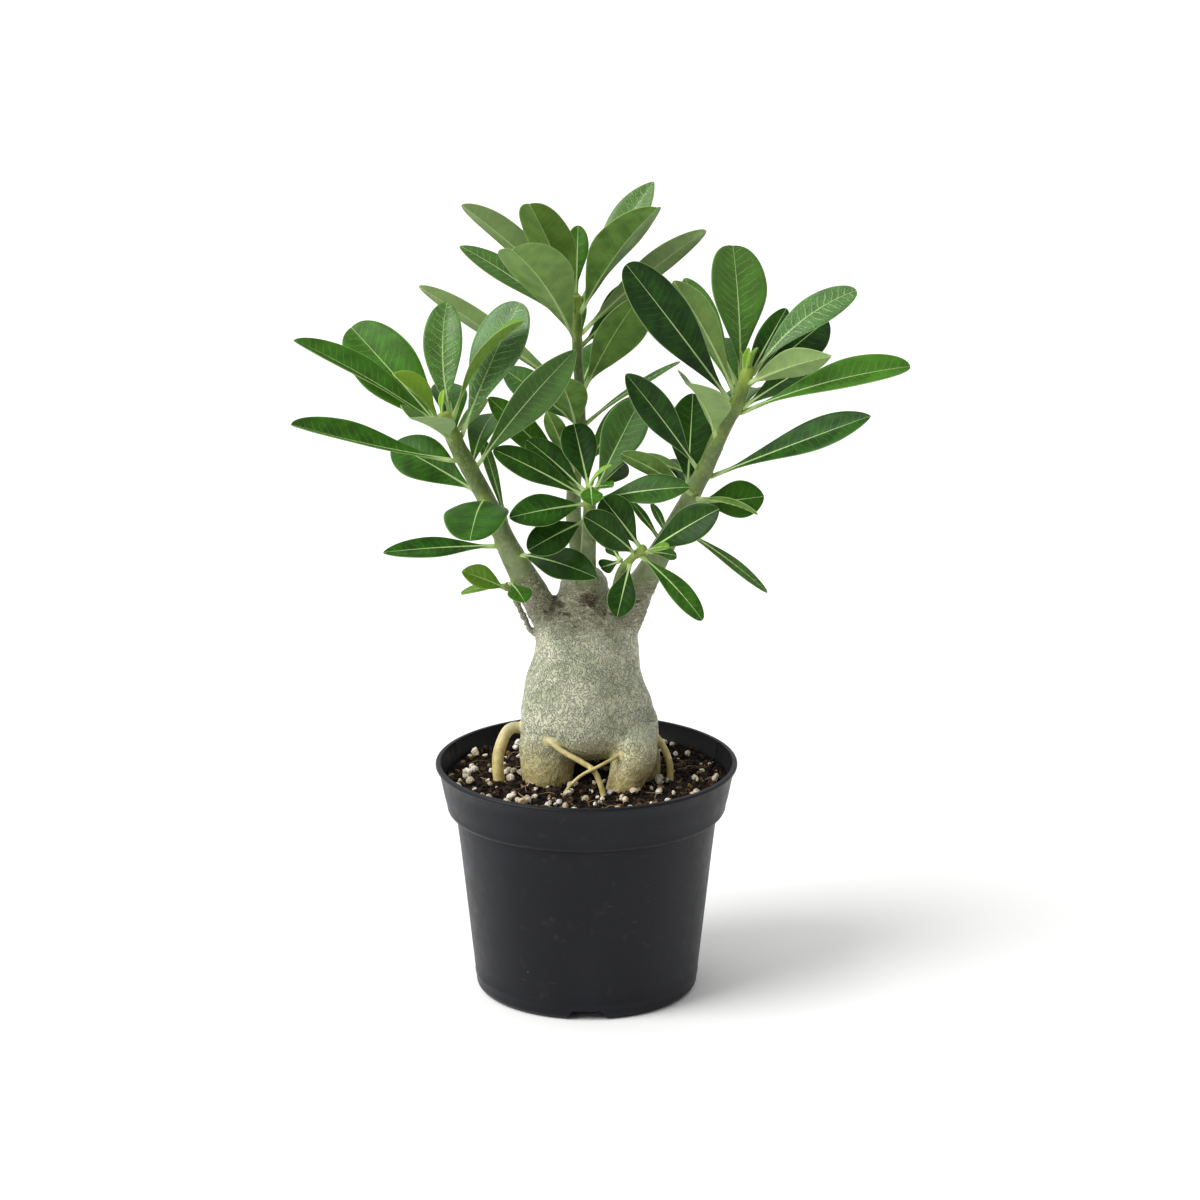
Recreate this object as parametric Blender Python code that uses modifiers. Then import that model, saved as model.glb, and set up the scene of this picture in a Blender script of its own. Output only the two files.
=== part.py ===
"""Potted desert rose: a swollen trunk with leafy stems, growing in a plastic nursery pot."""
import math

import bmesh
import bpy
import numpy as np
from mathutils import Vector, noise

MM = 0.001
GAP = 0.3                       # clearance between pieces that touch; lengths below are in millimetres

# Nursery pot
POT_HEIGHT = 117.0
LIP_RADIUS = 75.0
LIP_BEAD = 1.1
BAND_TOP_RADIUS = 73.4
BAND_LOW_RADIUS = 69.3
BAND_LOW_Z = 92.0
BAND_ROUND = 2.8
WALL_TOP_RADIUS = 64.8
BASE_RADIUS = 55.2
BASE_ROUND = 4.0
WALL = 1.3
FLOOR = 1.4
POT_STEPS = 48
CHANNELS = 3                    # drainage channels under the base; the first one faces the front
CHANNEL_FOOT = 21.0
CHANNEL_ROOF = 14.0
CHANNEL_HEIGHT = 5.0
CHANNEL_START = 26.0
DRAIN_RADIUS = 4.0
DRAIN_AT = 43.0

# Growing mix
SOIL_Z = 108.0
SOIL_BUMPS = 1.2

# Trunk: sections of the swollen body, as height, centre x, centre y, half width, half depth
BODY = [
    (118, 1, 10, 14, 12), (121, 1, 9, 24, 20), (126, 1, 8, 30, 25), (135, 0, 8, 32.5, 28),
    (146, 0, 8, 32, 27.5), (156, -1, 8, 29.5, 26), (167, 0, 7.5, 26.5, 24), (180, 0, 7, 25, 22),
    (189, 0, 7, 23, 19), (197, 0, 6, 17, 15.5), (203, -1, 5, 12.5, 13.5), (210, -1, 4, 11, 12),
    (215, -1, 4, 7, 8),
]
# Legs that carry the body, as x, y, z, radius from the body down into the mix
LEGS = [
    [(-17, 2, 140, 15), (-19.5, -2, 125, 14), (-19.5, -3, 112, 13), (-19, -2, 100, 10)],
    [(24, 6, 138, 11), (28, 3, 124, 8.5), (29, 3, 112, 7.8), (28, 3, 100, 6)],
    [(23, -2, 134, 8), (21, -14, 125, 7.5), (16, -19, 115, 6.5), (12, -21, 101, 5)],
    [(-12, 20, 138, 12), (-16, 28, 120, 9), (-18, 32, 101, 7)],
    [(12, 20, 138, 12), (17, 29, 120, 8), (20, 33, 101, 6)],
]
# Thin surface roots, as x, y, z, radius
ROOTS = [
    [(-27, 9, 128, 3), (-33, 8, 131.5, 3), (-39, 5, 131, 3), (-43, 1, 123, 3), (-44, -2, 115, 3),
     (-42.5, -4, 101, 3)],
    [(-22, -8, 135, 1.8), (-18, -15, 132, 1.6), (-11, -20, 128, 1.5), (-2, -24, 124, 1.5),
     (4, -26, 120, 1.5), (8, -28, 110, 1.5), (8.5, -29, 103, 1.5)],
    [(22, -12, 128, 1.2), (16, -19, 126, 1.1), (7, -27, 123.5, 1), (-3, -29, 118.5, 1),
     (-10, -30, 111, 1), (-12, -30, 103, 1)],
    [(29, 5, 130, 2), (34, 2, 129, 1.9), (38, -2, 125, 1.8), (41, -5, 118, 1.8), (41.5, -6, 109, 1.8),
     (41, -6, 102, 1.8)],
]
VOXEL = 2.8
TRUNK_KEEP = 0.30               # share of the remeshed faces that the trunk keeps

# Stems, as x, y, z, radius from the foot to the tip
STEMS = {
    "stem_left": [(-18.5, 5.5, 188, 8), (-26.5, 3, 204, 7.3), (-35, 0, 220.5, 6.2), (-42, -3, 237, 4.8),
                  (-48.5, -5, 252.5, 4.4), (-62.5, -8, 280.5, 4.1), (-69.5, -8, 297, 3.4)],
    "stem_middle": [(-1, 10, 203, 4.6), (-3, 13, 216, 4.2), (-6.5, 18, 243, 3.8), (-3, 20, 286.5, 2.7),
                    (-4.5, 20, 325, 2.5), (-4.5, 20, 349, 2.1)],
    "stem_right": [(21, 5.5, 193, 8.6), (27, 3, 207, 7.3), (33.5, 0, 219.5, 6.2), (46, -5, 245, 4.6),
                   (57.5, -12, 270, 4.2), (66, -14, 290.5, 3.9), (74.5, -15, 308, 3.4), (78.5, -14, 322, 2.4)],
    "shoot_centre": [(1, -3, 204, 4.2), (1, -7, 214, 4), (1, -12, 230, 3.8), (2, -18, 262, 2.7)],
    "shoot_front": [(10, -4, 186, 2.6), (12.5, -12, 200, 2.2), (14.5, -18, 212, 2.1), (18, -24, 224, 2),
                    (28.5, -30, 236, 1.7)],
    "shoot_left": [(-23.5, 4.5, 178, 1.6), (-28.4, 5, 184.5, 1.4), (-34, 5, 197, 1.3), (-39, 0, 208.5, 1.1)],
}
STEM_SIDES = {"stem_left": 4, "stem_middle": 3, "stem_right": 4}

# Leaf blade
STATIONS = (0.0, 0.1, 0.26, 0.44, 0.62, 0.78, 0.91)
PETIOLE_WIDTH = 2.2
MIDRIB_THICKNESS = 1.0
EDGE_THICKNESS = 0.5

# Leaves by stem: share of the way up the stem, tip x, y, z, width, the way the upper side faces,
# fold along the midrib in degrees, then the midrib's bow upward and sideways as shares of its length
LEAVES = {
    "stem_left": [
        (0.965, (-142, 2, 331), 20, (0.3, -0.55, 0.8), 20, 0.04, 0),
        (0.92, (-115, 25, 332), 28, (0.3, -1, 0.1), 14, 0.05, 0),
        (0.98, (-68, 22, 345), 20, (0, -1, 0.1), 12, 0.05, -0.05),
        (0.99, (-93, -24, 321), 17, (0.2, -0.6, 0.9), 30, 0.05, 0),
        (0.89, (-32, 6, 349), 28, (-0.3, -1, 0.2), 12, 0.06, 0),
        (0.975, (-30, -16, 345), 15, (-0.75, 0.15, 0.6), 30, 0.08, 0),
        (0.90, (-84, -50, 306), 30, (0.45, 0.5, 0.9), 25, 0.03, 0),
        (0.81, (-143, -14, 293), 22, (0.1, -0.65, 0.75), 22, -0.03, 0),
        (0.64, (-95, 24, 273), 24, (0.3, -0.9, 0.4), 10, 0.04, 0),
        (0.75, (-5, -32, 335), 22, (-0.6, -0.75, 0.2), 25, 0.04, 0),
        (0.61, (-55, -78, 253), 31, (0, 0.1, 1), 6, 0.06, 0),
        (0.40, (-99, -16, 229), 14, (0, -0.5, 0.85), 12, 0.02, 0),
        (0.33, (5, -32, 221), 19, (0.2, -0.7, 0.6), 12, 0.06, 0),
    ],
    "stem_middle": [
        (0.975, (-60, 8, 397), 21, (0.5, 0.75, 0.3), 22, 0.04, 0),
        (0.965, (-27, -8, 401), 25, (0.3, 0.9, 0.3), 15, 0.05, 0),
        (0.90, (-62, 36, 370), 15, (0.2, -0.5, 0.8), 12, 0.05, 0),
        (0.86, (-35, -40, 386), 34, (0.25, 0.5, 0.8), 4, 0.05, 0),
        (0.955, (34, -12, 400), 30, (-0.6, 0.8, 0.1), 28, 0.05, 0),
        (0.985, (33, 42, 401), 22, (-0.5, -0.85, 0.2), 15, 0.04, 0),
        (0.88, (58, 14, 383), 15, (-0.3, 0.9, 0.3), 15, 0.05, 0),
        (0.83, (31, 42, 350), 19, (-0.2, -0.9, 0.4), 12, 0.05, 0),
        (0.69, (27, -8, 357), 27, (-0.3, 0.9, 0.2), 22, 0.05, 0),
        (0.66, (-82, 32, 351), 14, (0.3, 0.9, 0.3), 25, 0.03, 0),
        (0.57, (-41, 34, 309), 16, (0.2, -0.9, 0.3), 10, 0.05, 0),
        (0.545, (-13, -14, 317), 20, (0.2, 0.8, 0.5), 15, 0.05, 0),
    ],
    "shoot_centre": [
        (0.93, (-45, -12, 280), 15, (0.2, -0.8, 0.6), 12, 0.04, 0),
        (0.96, (-29, 2, 281), 15, (0.2, -0.8, 0.6), 12, 0.05, 0),
        (0.99, (-6, 6, 288), 18, (0.1, -1, 0.2), 12, 0.05, 0),
        (0.96, (26, 4, 300), 23, (-0.1, -1, 0.3), 15, 0.05, 0),
        (0.91, (50, -30, 266), 16, (0, -0.75, 0.7), 12, 0.05, 0),
        (0.87, (-37, -38, 253), 17, (0.1, -0.8, 0.6), 10, 0.05, 0),
        (0.72, (-28, -36, 236), 17, (0.1, -0.8, 0.6), 8, 0.05, 0),
    ],
    "shoot_front": [
        (0.97, (8, -32, 261), 18, (0.2, -0.9, 0.3), 10, 0.05, 0),
        (0.90, (-1, -54, 258), 17, (0.2, -0.8, 0.5), 10, 0.06, 0),
        (0.96, (64, -40, 258), 18, (-0.1, -0.85, 0.5), 10, 0.05, 0),
        (0.92, (56, -50, 205), 12, (0.4, -0.8, 0.4), 12, 0.08, 0),
        (0.80, (15, -41, 204), 14, (-0.1, -1, 0), 10, 0.10, 0),
    ],
    "shoot_left": [
        (0.95, (-61, -8, 217), 13, (0.3, -0.8, 0.5), 25, 0.06, 0),
    ],
    "stem_right": [
        (0.87, (19, -46, 380), 24, (0.3, -1, 0.1), 14, 0.03, 0),
        (0.91, (42, -20, 366), 19, (0.5, 0.85, 0.2), 20, 0.05, 0),
        (0.925, (48, 28, 356), 14, (0.2, -1, 0.1), 12, 0.05, 0),
        (0.955, (71, 16, 375), 30, (0.4, -1, 0.1), 18, 0.04, 0),
        (0.985, (131, 6, 355), 20, (-0.2, -0.9, 0.5), 20, 0.04, -0.07),
        (0.935, (118, 24, 336), 22, (-0.1, -1, 0.3), 10, 0.06, 0),
        (0.955, (117, -44, 335), 20, (0, 1, 0.3), 15, 0.05, 0),
        (0.85, (156, -22, 324), 20, (0, -0.6, 0.8), 22, 0.06, 0),
        (0.60, (137, -28, 301), 18, (0, -0.7, 0.7), 18, 0.01, 0),
        (0.745, (47, -60, 326), 32, (0.8, 0.65, 0.8), 25, 0.05, 0),
        (0.61, (19, -44, 326), 18, (0.5, -0.85, 0), 22, 0.04, 0),
        (0.505, (52, 8, 303), 22, (0, -1, 0.1), 12, 0.05, 0),
        (0.47, (87, 4, 252), 19, (0, -0.9, 0.5), 8, -0.05, 0),
    ],
}


def clear_scene():
    """Remove everything that the scene starts with."""
    for obj in list(bpy.data.objects):
        bpy.data.objects.remove(obj, do_unlink=True)


def collection(name):
    """A new collection in the scene."""
    made = bpy.data.collections.new(name)
    bpy.context.scene.collection.children.link(made)
    return made


def material(name, colour, roughness):
    """A plain Principled material."""
    made = bpy.data.materials.new(name)
    made.use_nodes = True
    shader = made.node_tree.nodes["Principled BSDF"]
    shader.inputs["Base Color"].default_value = (*colour, 1.0)
    shader.inputs["Roughness"].default_value = roughness
    shader.inputs["Metallic"].default_value = 0.0
    made.diffuse_color = (*colour, 1.0)
    return made


def add_object(name, data, into):
    """An object for a mesh or curve, linked into one collection."""
    obj = bpy.data.objects.new(name, data)
    into.objects.link(obj)
    return obj


def add_part(name, data, mat):
    """An object that is one piece of the plant or its pot."""
    obj = add_object(name, data, parts)
    data.materials.clear()
    data.materials.append(mat)
    return obj


def add_cutter(name, data):
    """An object that only cuts or guides another."""
    obj = add_object(name, data, cutters)
    obj.hide_render = True
    obj.display_type = "WIRE"
    return obj


def mesh_from(name, bm):
    """A mesh in metres from a bmesh drawn in millimetres, with its faces pointing out."""
    bmesh.ops.scale(bm, vec=(MM, MM, MM), verts=bm.verts)
    bmesh.ops.recalc_face_normals(bm, faces=bm.faces)
    mesh = bpy.data.meshes.new(name)
    bm.to_mesh(mesh)
    bm.free()
    return mesh


def evaluated_mesh(obj, weld=0.0):
    """The mesh an object shows with its modifiers applied, in world space."""
    graph = bpy.context.evaluated_depsgraph_get()
    mesh = bpy.data.meshes.new_from_object(obj.evaluated_get(graph))
    mesh.transform(obj.matrix_world)
    if weld:
        bm = bmesh.new()
        bm.from_mesh(mesh)
        bmesh.ops.remove_doubles(bm, verts=bm.verts, dist=weld)
        bmesh.ops.recalc_face_normals(bm, faces=bm.faces)
        bm.to_mesh(mesh)
        bm.free()
    return mesh


def boolean(obj, other, operation):
    """Cut an object by another, or join the other to it."""
    modifier = obj.modifiers.new(operation.lower(), "BOOLEAN")
    modifier.operation = operation
    modifier.object = other


def smooth_path(points, per_span):
    """Points on a smooth curve through the given points, radius included."""
    knots = np.array([points[0], *points, points[-1]], dtype=float)
    path = []
    for i in range(1, len(knots) - 2):
        before, start, end, after = knots[i - 1:i + 3]
        for k in range(per_span):
            t = k / per_span
            path.append(0.5 * (2 * start + (end - before) * t
                               + (2 * before - 5 * start + 4 * end - after) * t ** 2
                               + (3 * start - before - 3 * end + after) * t ** 3))
    path.append(knots[-2])
    return np.array(path)


def tube_curve(name, path, extra=0.0, resolution=2):
    """A curve whose round section follows the path's radius."""
    curve = bpy.data.curves.new(name, "CURVE")
    curve.dimensions = "3D"
    curve.bevel_depth = MM
    curve.bevel_resolution = resolution
    curve.use_fill_caps = True
    spline = curve.splines.new("POLY")
    spline.points.add(len(path) - 1)
    for point, (x, y, z, radius) in zip(spline.points, path):
        point.co = (x * MM, y * MM, z * MM, 1.0)
        point.radius = radius + extra
    return curve


def tube_mesh(name, path, extra=0.0, resolution=2):
    """The same tube as a closed mesh."""
    curve = tube_curve(name, path, extra, resolution)
    holder = add_object(name + "_curve", curve, cutters)
    bpy.context.view_layer.update()
    mesh = evaluated_mesh(holder, weld=0.00001)
    bpy.data.objects.remove(holder, do_unlink=True)
    bpy.data.curves.remove(curve)
    mesh.name = name
    return mesh


def turned(name, profile, steps):
    """A closed mesh turned from a profile that runs from the axis round to the axis again."""
    bm = bmesh.new()
    verts = [bm.verts.new((radius * MM, 0, z * MM)) for radius, z in profile]
    for first, second in zip(verts, verts[1:]):
        bm.edges.new((first, second))
    mesh = bpy.data.meshes.new(name)
    bm.to_mesh(mesh)
    bm.free()
    holder = add_object(name + "_profile", mesh, cutters)
    screw = holder.modifiers.new("turn", "SCREW")
    screw.steps = steps
    screw.render_steps = steps
    screw.use_merge_vertices = True
    screw.merge_threshold = 0.00001
    bpy.context.view_layer.update()
    made = evaluated_mesh(holder, weld=0.00001)
    bpy.data.objects.remove(holder, do_unlink=True)
    made.name = name
    return made


def loft(rings, tip=None):
    """A closed skin over rings of equal count, with flat ends or a pointed tip."""
    bm = bmesh.new()
    rows = [[bm.verts.new(point) for point in ring] for ring in rings]
    count = len(rows[0])
    for low, high in zip(rows, rows[1:]):
        for k in range(count):
            bm.faces.new((low[k], low[(k + 1) % count], high[(k + 1) % count], high[k]))
    bm.faces.new(rows[0])
    if tip is None:
        bm.faces.new(rows[-1])
    else:
        point = bm.verts.new(tip)
        for k in range(count):
            bm.faces.new((rows[-1][k], rows[-1][(k + 1) % count], point))
    return bm


def arc(centre_x, centre_z, radius, start, end, count):
    """Points along an arc, angles in degrees."""
    angles = np.radians(np.linspace(start, end, count))
    return [(centre_x + radius * math.cos(a), centre_z + radius * math.sin(a)) for a in angles]


def wall_radius(z):
    """Outer radius of the tapered wall below the band."""
    share = (z - BASE_ROUND) / (BAND_LOW_Z - BASE_ROUND)
    return BASE_RADIUS + (WALL_TOP_RADIUS - BASE_RADIUS) * share


def pot_outer_profile():
    """The pot's outside, from the top on the axis down to the bottom on the axis."""
    return [
        (0, POT_HEIGHT),
        *arc(LIP_RADIUS - LIP_BEAD, POT_HEIGHT - LIP_BEAD, LIP_BEAD, 90, -60, 5),
        (BAND_TOP_RADIUS, POT_HEIGHT - 3.2),
        *arc(BAND_LOW_RADIUS - BAND_ROUND, BAND_LOW_Z + BAND_ROUND, BAND_ROUND, 10, -80, 4),
        (WALL_TOP_RADIUS + 0.8, BAND_LOW_Z - 0.4),
        (WALL_TOP_RADIUS, BAND_LOW_Z - 1.6),
        *arc(BASE_RADIUS - BASE_ROUND, BASE_ROUND, BASE_ROUND, 6, -90, 4),
        (0, 0),
    ]


def pot_inner_profile(inset, top):
    """The inside of the pot's wall from a height down to the floor, drawn in by an inset."""
    turn = BASE_ROUND - WALL
    wall_top = (WALL_TOP_RADIUS - WALL - inset, BAND_LOW_Z + 0.2)
    band_low = (BAND_LOW_RADIUS - WALL - inset, BAND_LOW_Z + BAND_ROUND + 1.2)
    slope = (BAND_TOP_RADIUS - BAND_LOW_RADIUS) / (POT_HEIGHT - 3.2 - BAND_LOW_Z - BAND_ROUND)
    band_top = (band_low[0] + slope * (top - band_low[1]), top)
    floor_round = arc(wall_radius(FLOOR + turn) - WALL - inset - turn, FLOOR + turn + inset, turn, 6, -90, 3)
    return [(0, top), band_top, band_low, wall_top, *floor_round, (0, FLOOR + inset)]


def channel_block(name, extra):
    """The trapezoid bar of one drainage channel pointing to the front, grown by an extra."""
    start = CHANNEL_START - extra
    length = LIP_RADIUS - start
    low = -1.0
    high = CHANNEL_HEIGHT + extra
    slope = (CHANNEL_FOOT - CHANNEL_ROOF) / CHANNEL_HEIGHT
    bm = bmesh.new()
    bmesh.ops.create_cube(bm, size=1.0)
    for vert in bm.verts:
        top = vert.co.z > 0
        width = CHANNEL_ROOF + 2 * extra if top else CHANNEL_FOOT + 2 * extra - slope * low
        vert.co = (vert.co.x * width, -start - length * (0.5 - vert.co.y), high if top else low)
    return mesh_from(name, bm)


def spin_copies(mesh, count, name):
    """Cutters made of one mesh set evenly around the axis."""
    copies = []
    for k in range(count):
        obj = add_cutter(f"{name}_{k + 1}", mesh)
        obj.rotation_euler.z = math.tau * k / count
        copies.append(obj)
    return copies


def make_pot():
    """A thin tapered pot with a beaded lip, a stepped band and drainage channels under its base."""
    pot = add_part("pot", turned("pot", pot_outer_profile(), POT_STEPS), black_plastic)
    cavity = add_cutter("pot_cavity", turned("pot_cavity", pot_inner_profile(0, POT_HEIGHT + 2), POT_STEPS))
    for block in spin_copies(channel_block("channel_roof", WALL), CHANNELS, "channel_roof"):
        boolean(cavity, block, "DIFFERENCE")
    boolean(pot, cavity, "DIFFERENCE")
    for channel in spin_copies(channel_block("channel", 0), CHANNELS, "channel"):
        boolean(pot, channel, "DIFFERENCE")
    bm = bmesh.new()
    bmesh.ops.create_cone(bm, cap_ends=True, segments=16, radius1=DRAIN_RADIUS, radius2=DRAIN_RADIUS, depth=20)
    bmesh.ops.translate(bm, vec=(0, -DRAIN_AT, 8), verts=bm.verts)
    for drain in spin_copies(mesh_from("drain", bm), CHANNELS, "drain"):
        boolean(pot, drain, "DIFFERENCE")
    pot.data.shade_smooth()
    pot.data.set_sharp_from_angle(angle=math.radians(35))


def trunk_solid():
    """The swollen body, its legs and surface roots as one solid."""
    bm = bmesh.new()
    sides = 28
    angles = [math.tau * k / sides for k in range(sides)]
    rings = [[(x + w * math.cos(a), y + d * math.sin(a), z) for a in angles] for z, x, y, w, d in BODY]
    shapes = [mesh_from("body", loft(rings))]
    shapes += [tube_mesh("leg", smooth_path(leg, 4), resolution=4) for leg in LEGS]
    for shape in shapes:
        bm.from_mesh(shape)
    mesh = bpy.data.meshes.new("trunk_core")
    bm.to_mesh(mesh)
    bm.free()
    core = add_cutter("trunk_core", mesh)
    remesh = core.modifiers.new("skin", "REMESH")
    remesh.mode = "VOXEL"
    remesh.voxel_size = VOXEL * MM
    soften = core.modifiers.new("soften", "SMOOTH")
    soften.iterations = 3
    thin_out = core.modifiers.new("thin_out", "DECIMATE")
    thin_out.ratio = TRUNK_KEEP
    for k, root in enumerate(ROOTS):
        tube = add_cutter(f"root_{k + 1}", tube_mesh("root", smooth_path(root, 2)))
        boolean(core, tube, "UNION")
    bpy.context.view_layer.update()
    return evaluated_mesh(core, weld=0.00001)


def make_trunk():
    """The trunk, with a socket for each stem that grows from it."""
    mesh = trunk_solid()
    trunk = add_part("caudex", mesh, pale_bark)
    for name, path in stem_paths.items():
        foot = path[:8].copy()
        foot[0, :3] -= GAP * (foot[1, :3] - foot[0, :3]) / np.linalg.norm(foot[1, :3] - foot[0, :3])
        socket = add_cutter(name + "_socket", tube_mesh("socket", foot, GAP, STEM_SIDES.get(name, 2)))
        boolean(trunk, socket, "DIFFERENCE")
    return mesh.copy()


def make_soil(trunk_mesh):
    """The growing mix, filling the pot to just under its lip, with a pit for the trunk's feet."""
    edge_radius = pot_inner_profile(GAP, SOIL_Z)[1][0]
    top = [(0, SOIL_Z), *[(edge_radius * share, SOIL_Z) for share in (0.25, 0.45, 0.62, 0.76, 0.88)]]
    mesh = turned("soil", top + pot_inner_profile(GAP, SOIL_Z)[1:], POT_STEPS)
    for vert in mesh.vertices:
        radius = math.hypot(vert.co.x, vert.co.y) / MM
        if vert.co.z > (SOIL_Z - 1) * MM and radius < edge_radius - 2:
            vert.co.z += SOIL_BUMPS * MM * noise.noise(vert.co * 90)
    soil = add_part("soil", mesh, dark_mix)
    for block in spin_copies(channel_block("channel_print", WALL + GAP), CHANNELS, "channel_print"):
        boolean(soil, block, "DIFFERENCE")
    pit = add_cutter("trunk_pit", trunk_mesh)
    grow = pit.modifiers.new("grow", "DISPLACE")
    grow.strength = 1.2 * GAP * MM
    grow.mid_level = 0.0
    boolean(soil, pit, "DIFFERENCE")


def make_stems():
    """The stems and shoots as tapered tubes with blunt tips."""
    for name, path in stem_paths.items():
        curve = tube_curve(name, path, resolution=STEM_SIDES.get(name, 2))
        add_part(name, curve, green_bark if name.startswith("stem") else shoot_green)


def stem_point(path, share):
    """Centre, direction and radius of a stem at a share of its length."""
    steps = np.linalg.norm(np.diff(path[:, :3], axis=0), axis=1)
    along = np.concatenate([[0], np.cumsum(steps)])
    target = share * along[-1]
    spot = [np.interp(target, along, path[:, k]) for k in range(4)]
    span = min(np.searchsorted(along, target, side="right"), len(path) - 1)
    direction = Vector(path[span, :3] - path[span - 1, :3]).normalized()
    return Vector(spot[:3]), direction, spot[3]


def blade_width(share, width):
    """Half width of a blade: a narrow wedge at its foot, broad past the middle, blunt at its tip."""
    spread = 0.5 * width * math.sin(math.pi * share ** 1.5) ** 0.85
    return max(spread, 0.5 * PETIOLE_WIDTH * (1 - 0.4 * share))


def leaf_mesh(name, path, share, tip, width, face, fold, bow, sway):
    """A leaf from its seat on the stem to its tip: a folded blade, thickest along the midrib."""
    tip = Vector(tip)
    centre, stem_dir, radius = stem_point(path, share)
    reach = tip - centre
    out = (reach - stem_dir * reach.dot(stem_dir)).normalized()
    face = Vector(face)
    heading = (reach - out * radius).normalized()
    side = heading.cross(face).normalized()
    top = side.cross(heading)
    reach_in = 0.5 * PETIOLE_WIDTH * abs(side.dot(out)) + 0.5 * MIDRIB_THICKNESS * abs(top.dot(out))
    seat = centre + out * (radius + GAP + reach_in)
    length = (tip - seat).length
    bend = seat.lerp(tip, 0.5) + (top * bow + side * sway) * 2 * length
    fold_out = math.cos(math.radians(fold))
    fold_up = math.sin(math.radians(fold))
    rings = []
    for s in STATIONS:
        spot = seat * (1 - s) ** 2 + bend * 2 * s * (1 - s) + tip * s ** 2
        along = ((bend - seat) * (1 - s) + (tip - bend) * s).normalized()
        side = along.cross(face).normalized()
        top = side.cross(along)
        half = blade_width(s, width)
        rise = top * (half * fold_up * min(1, 4 * s))
        thick = top * 0.5 * MIDRIB_THICKNESS
        thin = top * 0.5 * EDGE_THICKNESS
        left = spot - side * half * fold_out + rise
        right = spot + side * half * fold_out + rise
        rings.append([left + thin, spot + thick, right + thin, right - thin, spot - thick, left - thin])
    return mesh_from(name, loft(rings, tip))


def make_leaves():
    """Every leaf as its own piece, seated on its stem."""
    for stem, rows in LEAVES.items():
        group = stem.split("_")[1] if stem.startswith("stem") else stem.split("_")[1] + "_shoot"
        for number, row in enumerate(rows, start=1):
            name = f"leaf_{group}_{number:02d}"
            add_part(name, leaf_mesh(name, stem_paths[stem], *row), leaf_green)


clear_scene()
parts = collection("potted_desert_rose")
cutters = collection("cutters")
black_plastic = material("black_plastic", (0.022, 0.023, 0.025), 0.45)
dark_mix = material("growing_mix", (0.035, 0.024, 0.016), 0.95)
pale_bark = material("pale_bark", (0.48, 0.47, 0.36), 0.7)
green_bark = material("green_bark", (0.30, 0.34, 0.20), 0.65)
shoot_green = material("shoot_green", (0.22, 0.33, 0.09), 0.55)
leaf_green = material("leaf_green", (0.05, 0.16, 0.03), 0.35)

stem_paths = {name: smooth_path(points, 3) for name, points in STEMS.items()}
make_pot()
make_soil(make_trunk())
make_stems()
make_leaves()
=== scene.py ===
import math
import random

import bmesh
import bpy
import numpy as np
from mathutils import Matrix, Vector, noise


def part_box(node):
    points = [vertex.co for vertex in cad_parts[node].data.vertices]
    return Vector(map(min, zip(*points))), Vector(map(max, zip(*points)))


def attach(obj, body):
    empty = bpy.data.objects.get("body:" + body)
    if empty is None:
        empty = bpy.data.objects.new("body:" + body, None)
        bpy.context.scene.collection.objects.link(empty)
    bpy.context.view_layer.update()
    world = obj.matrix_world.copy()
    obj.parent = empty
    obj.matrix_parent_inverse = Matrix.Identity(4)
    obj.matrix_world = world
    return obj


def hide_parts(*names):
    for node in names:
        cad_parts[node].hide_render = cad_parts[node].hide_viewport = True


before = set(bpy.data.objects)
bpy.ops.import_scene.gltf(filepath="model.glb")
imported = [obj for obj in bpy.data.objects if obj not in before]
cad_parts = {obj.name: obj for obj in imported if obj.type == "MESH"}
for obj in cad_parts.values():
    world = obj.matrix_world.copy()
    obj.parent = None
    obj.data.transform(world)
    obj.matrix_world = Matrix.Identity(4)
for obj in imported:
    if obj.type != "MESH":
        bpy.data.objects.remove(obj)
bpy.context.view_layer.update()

MM = 0.001                      # lengths below are in millimetres, as in the part's own source

# Leaf blades
STATIONS = (0.0, 0.1, 0.26, 0.44, 0.62, 0.78, 0.91)     # where a CAD leaf has its rings along the midrib
ROWS = 60
COLUMNS = 20
PETIOLE_WIDTH = 2.0
EDGE_THICKNESS = 0.42
VEIN_SPACING = 3.8
SINK = 1.6                      # how far a petiole runs on into its stem

# Trunk: sections of the swollen body, as height, centre x, centre y, half width, half depth
BODY = [
    (118, 1, 10, 14, 12), (121, 1, 9, 24, 20), (126, 1, 8, 30, 25), (135, 0, 8, 32.5, 28),
    (146, 0, 8, 32, 27.5), (156, -1, 8, 29.5, 26), (167, 0, 7.5, 26.5, 24), (180, 0, 7, 25, 22),
    (189, 0, 7, 23, 19), (197, 0, 6, 17, 15.5), (203, -1, 5, 12.5, 13.5), (210, -1, 4, 11, 12),
    (215, -1, 4, 7, 8),
]
# Legs that carry the body, as x, y, z, radius from the body down into the mix
LEGS = [
    [(-17, 2, 140, 15), (-19.5, -2, 125, 14), (-19.5, -3, 112, 13), (-19, -2, 100, 10)],
    [(24, 6, 138, 11), (28, 3, 124, 8.5), (29, 3, 112, 7.8), (28, 3, 100, 6)],
    [(24, -3, 134, 10), (24.5, -11, 125, 10.5), (20, -16, 114, 9.5), (14, -19.5, 101, 6)],
    [(-12, 20, 138, 12), (-16, 28, 120, 9), (-18, 32, 101, 7)],
    [(12, 20, 138, 12), (17, 29, 120, 8), (20, 33, 101, 6)],
]
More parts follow.
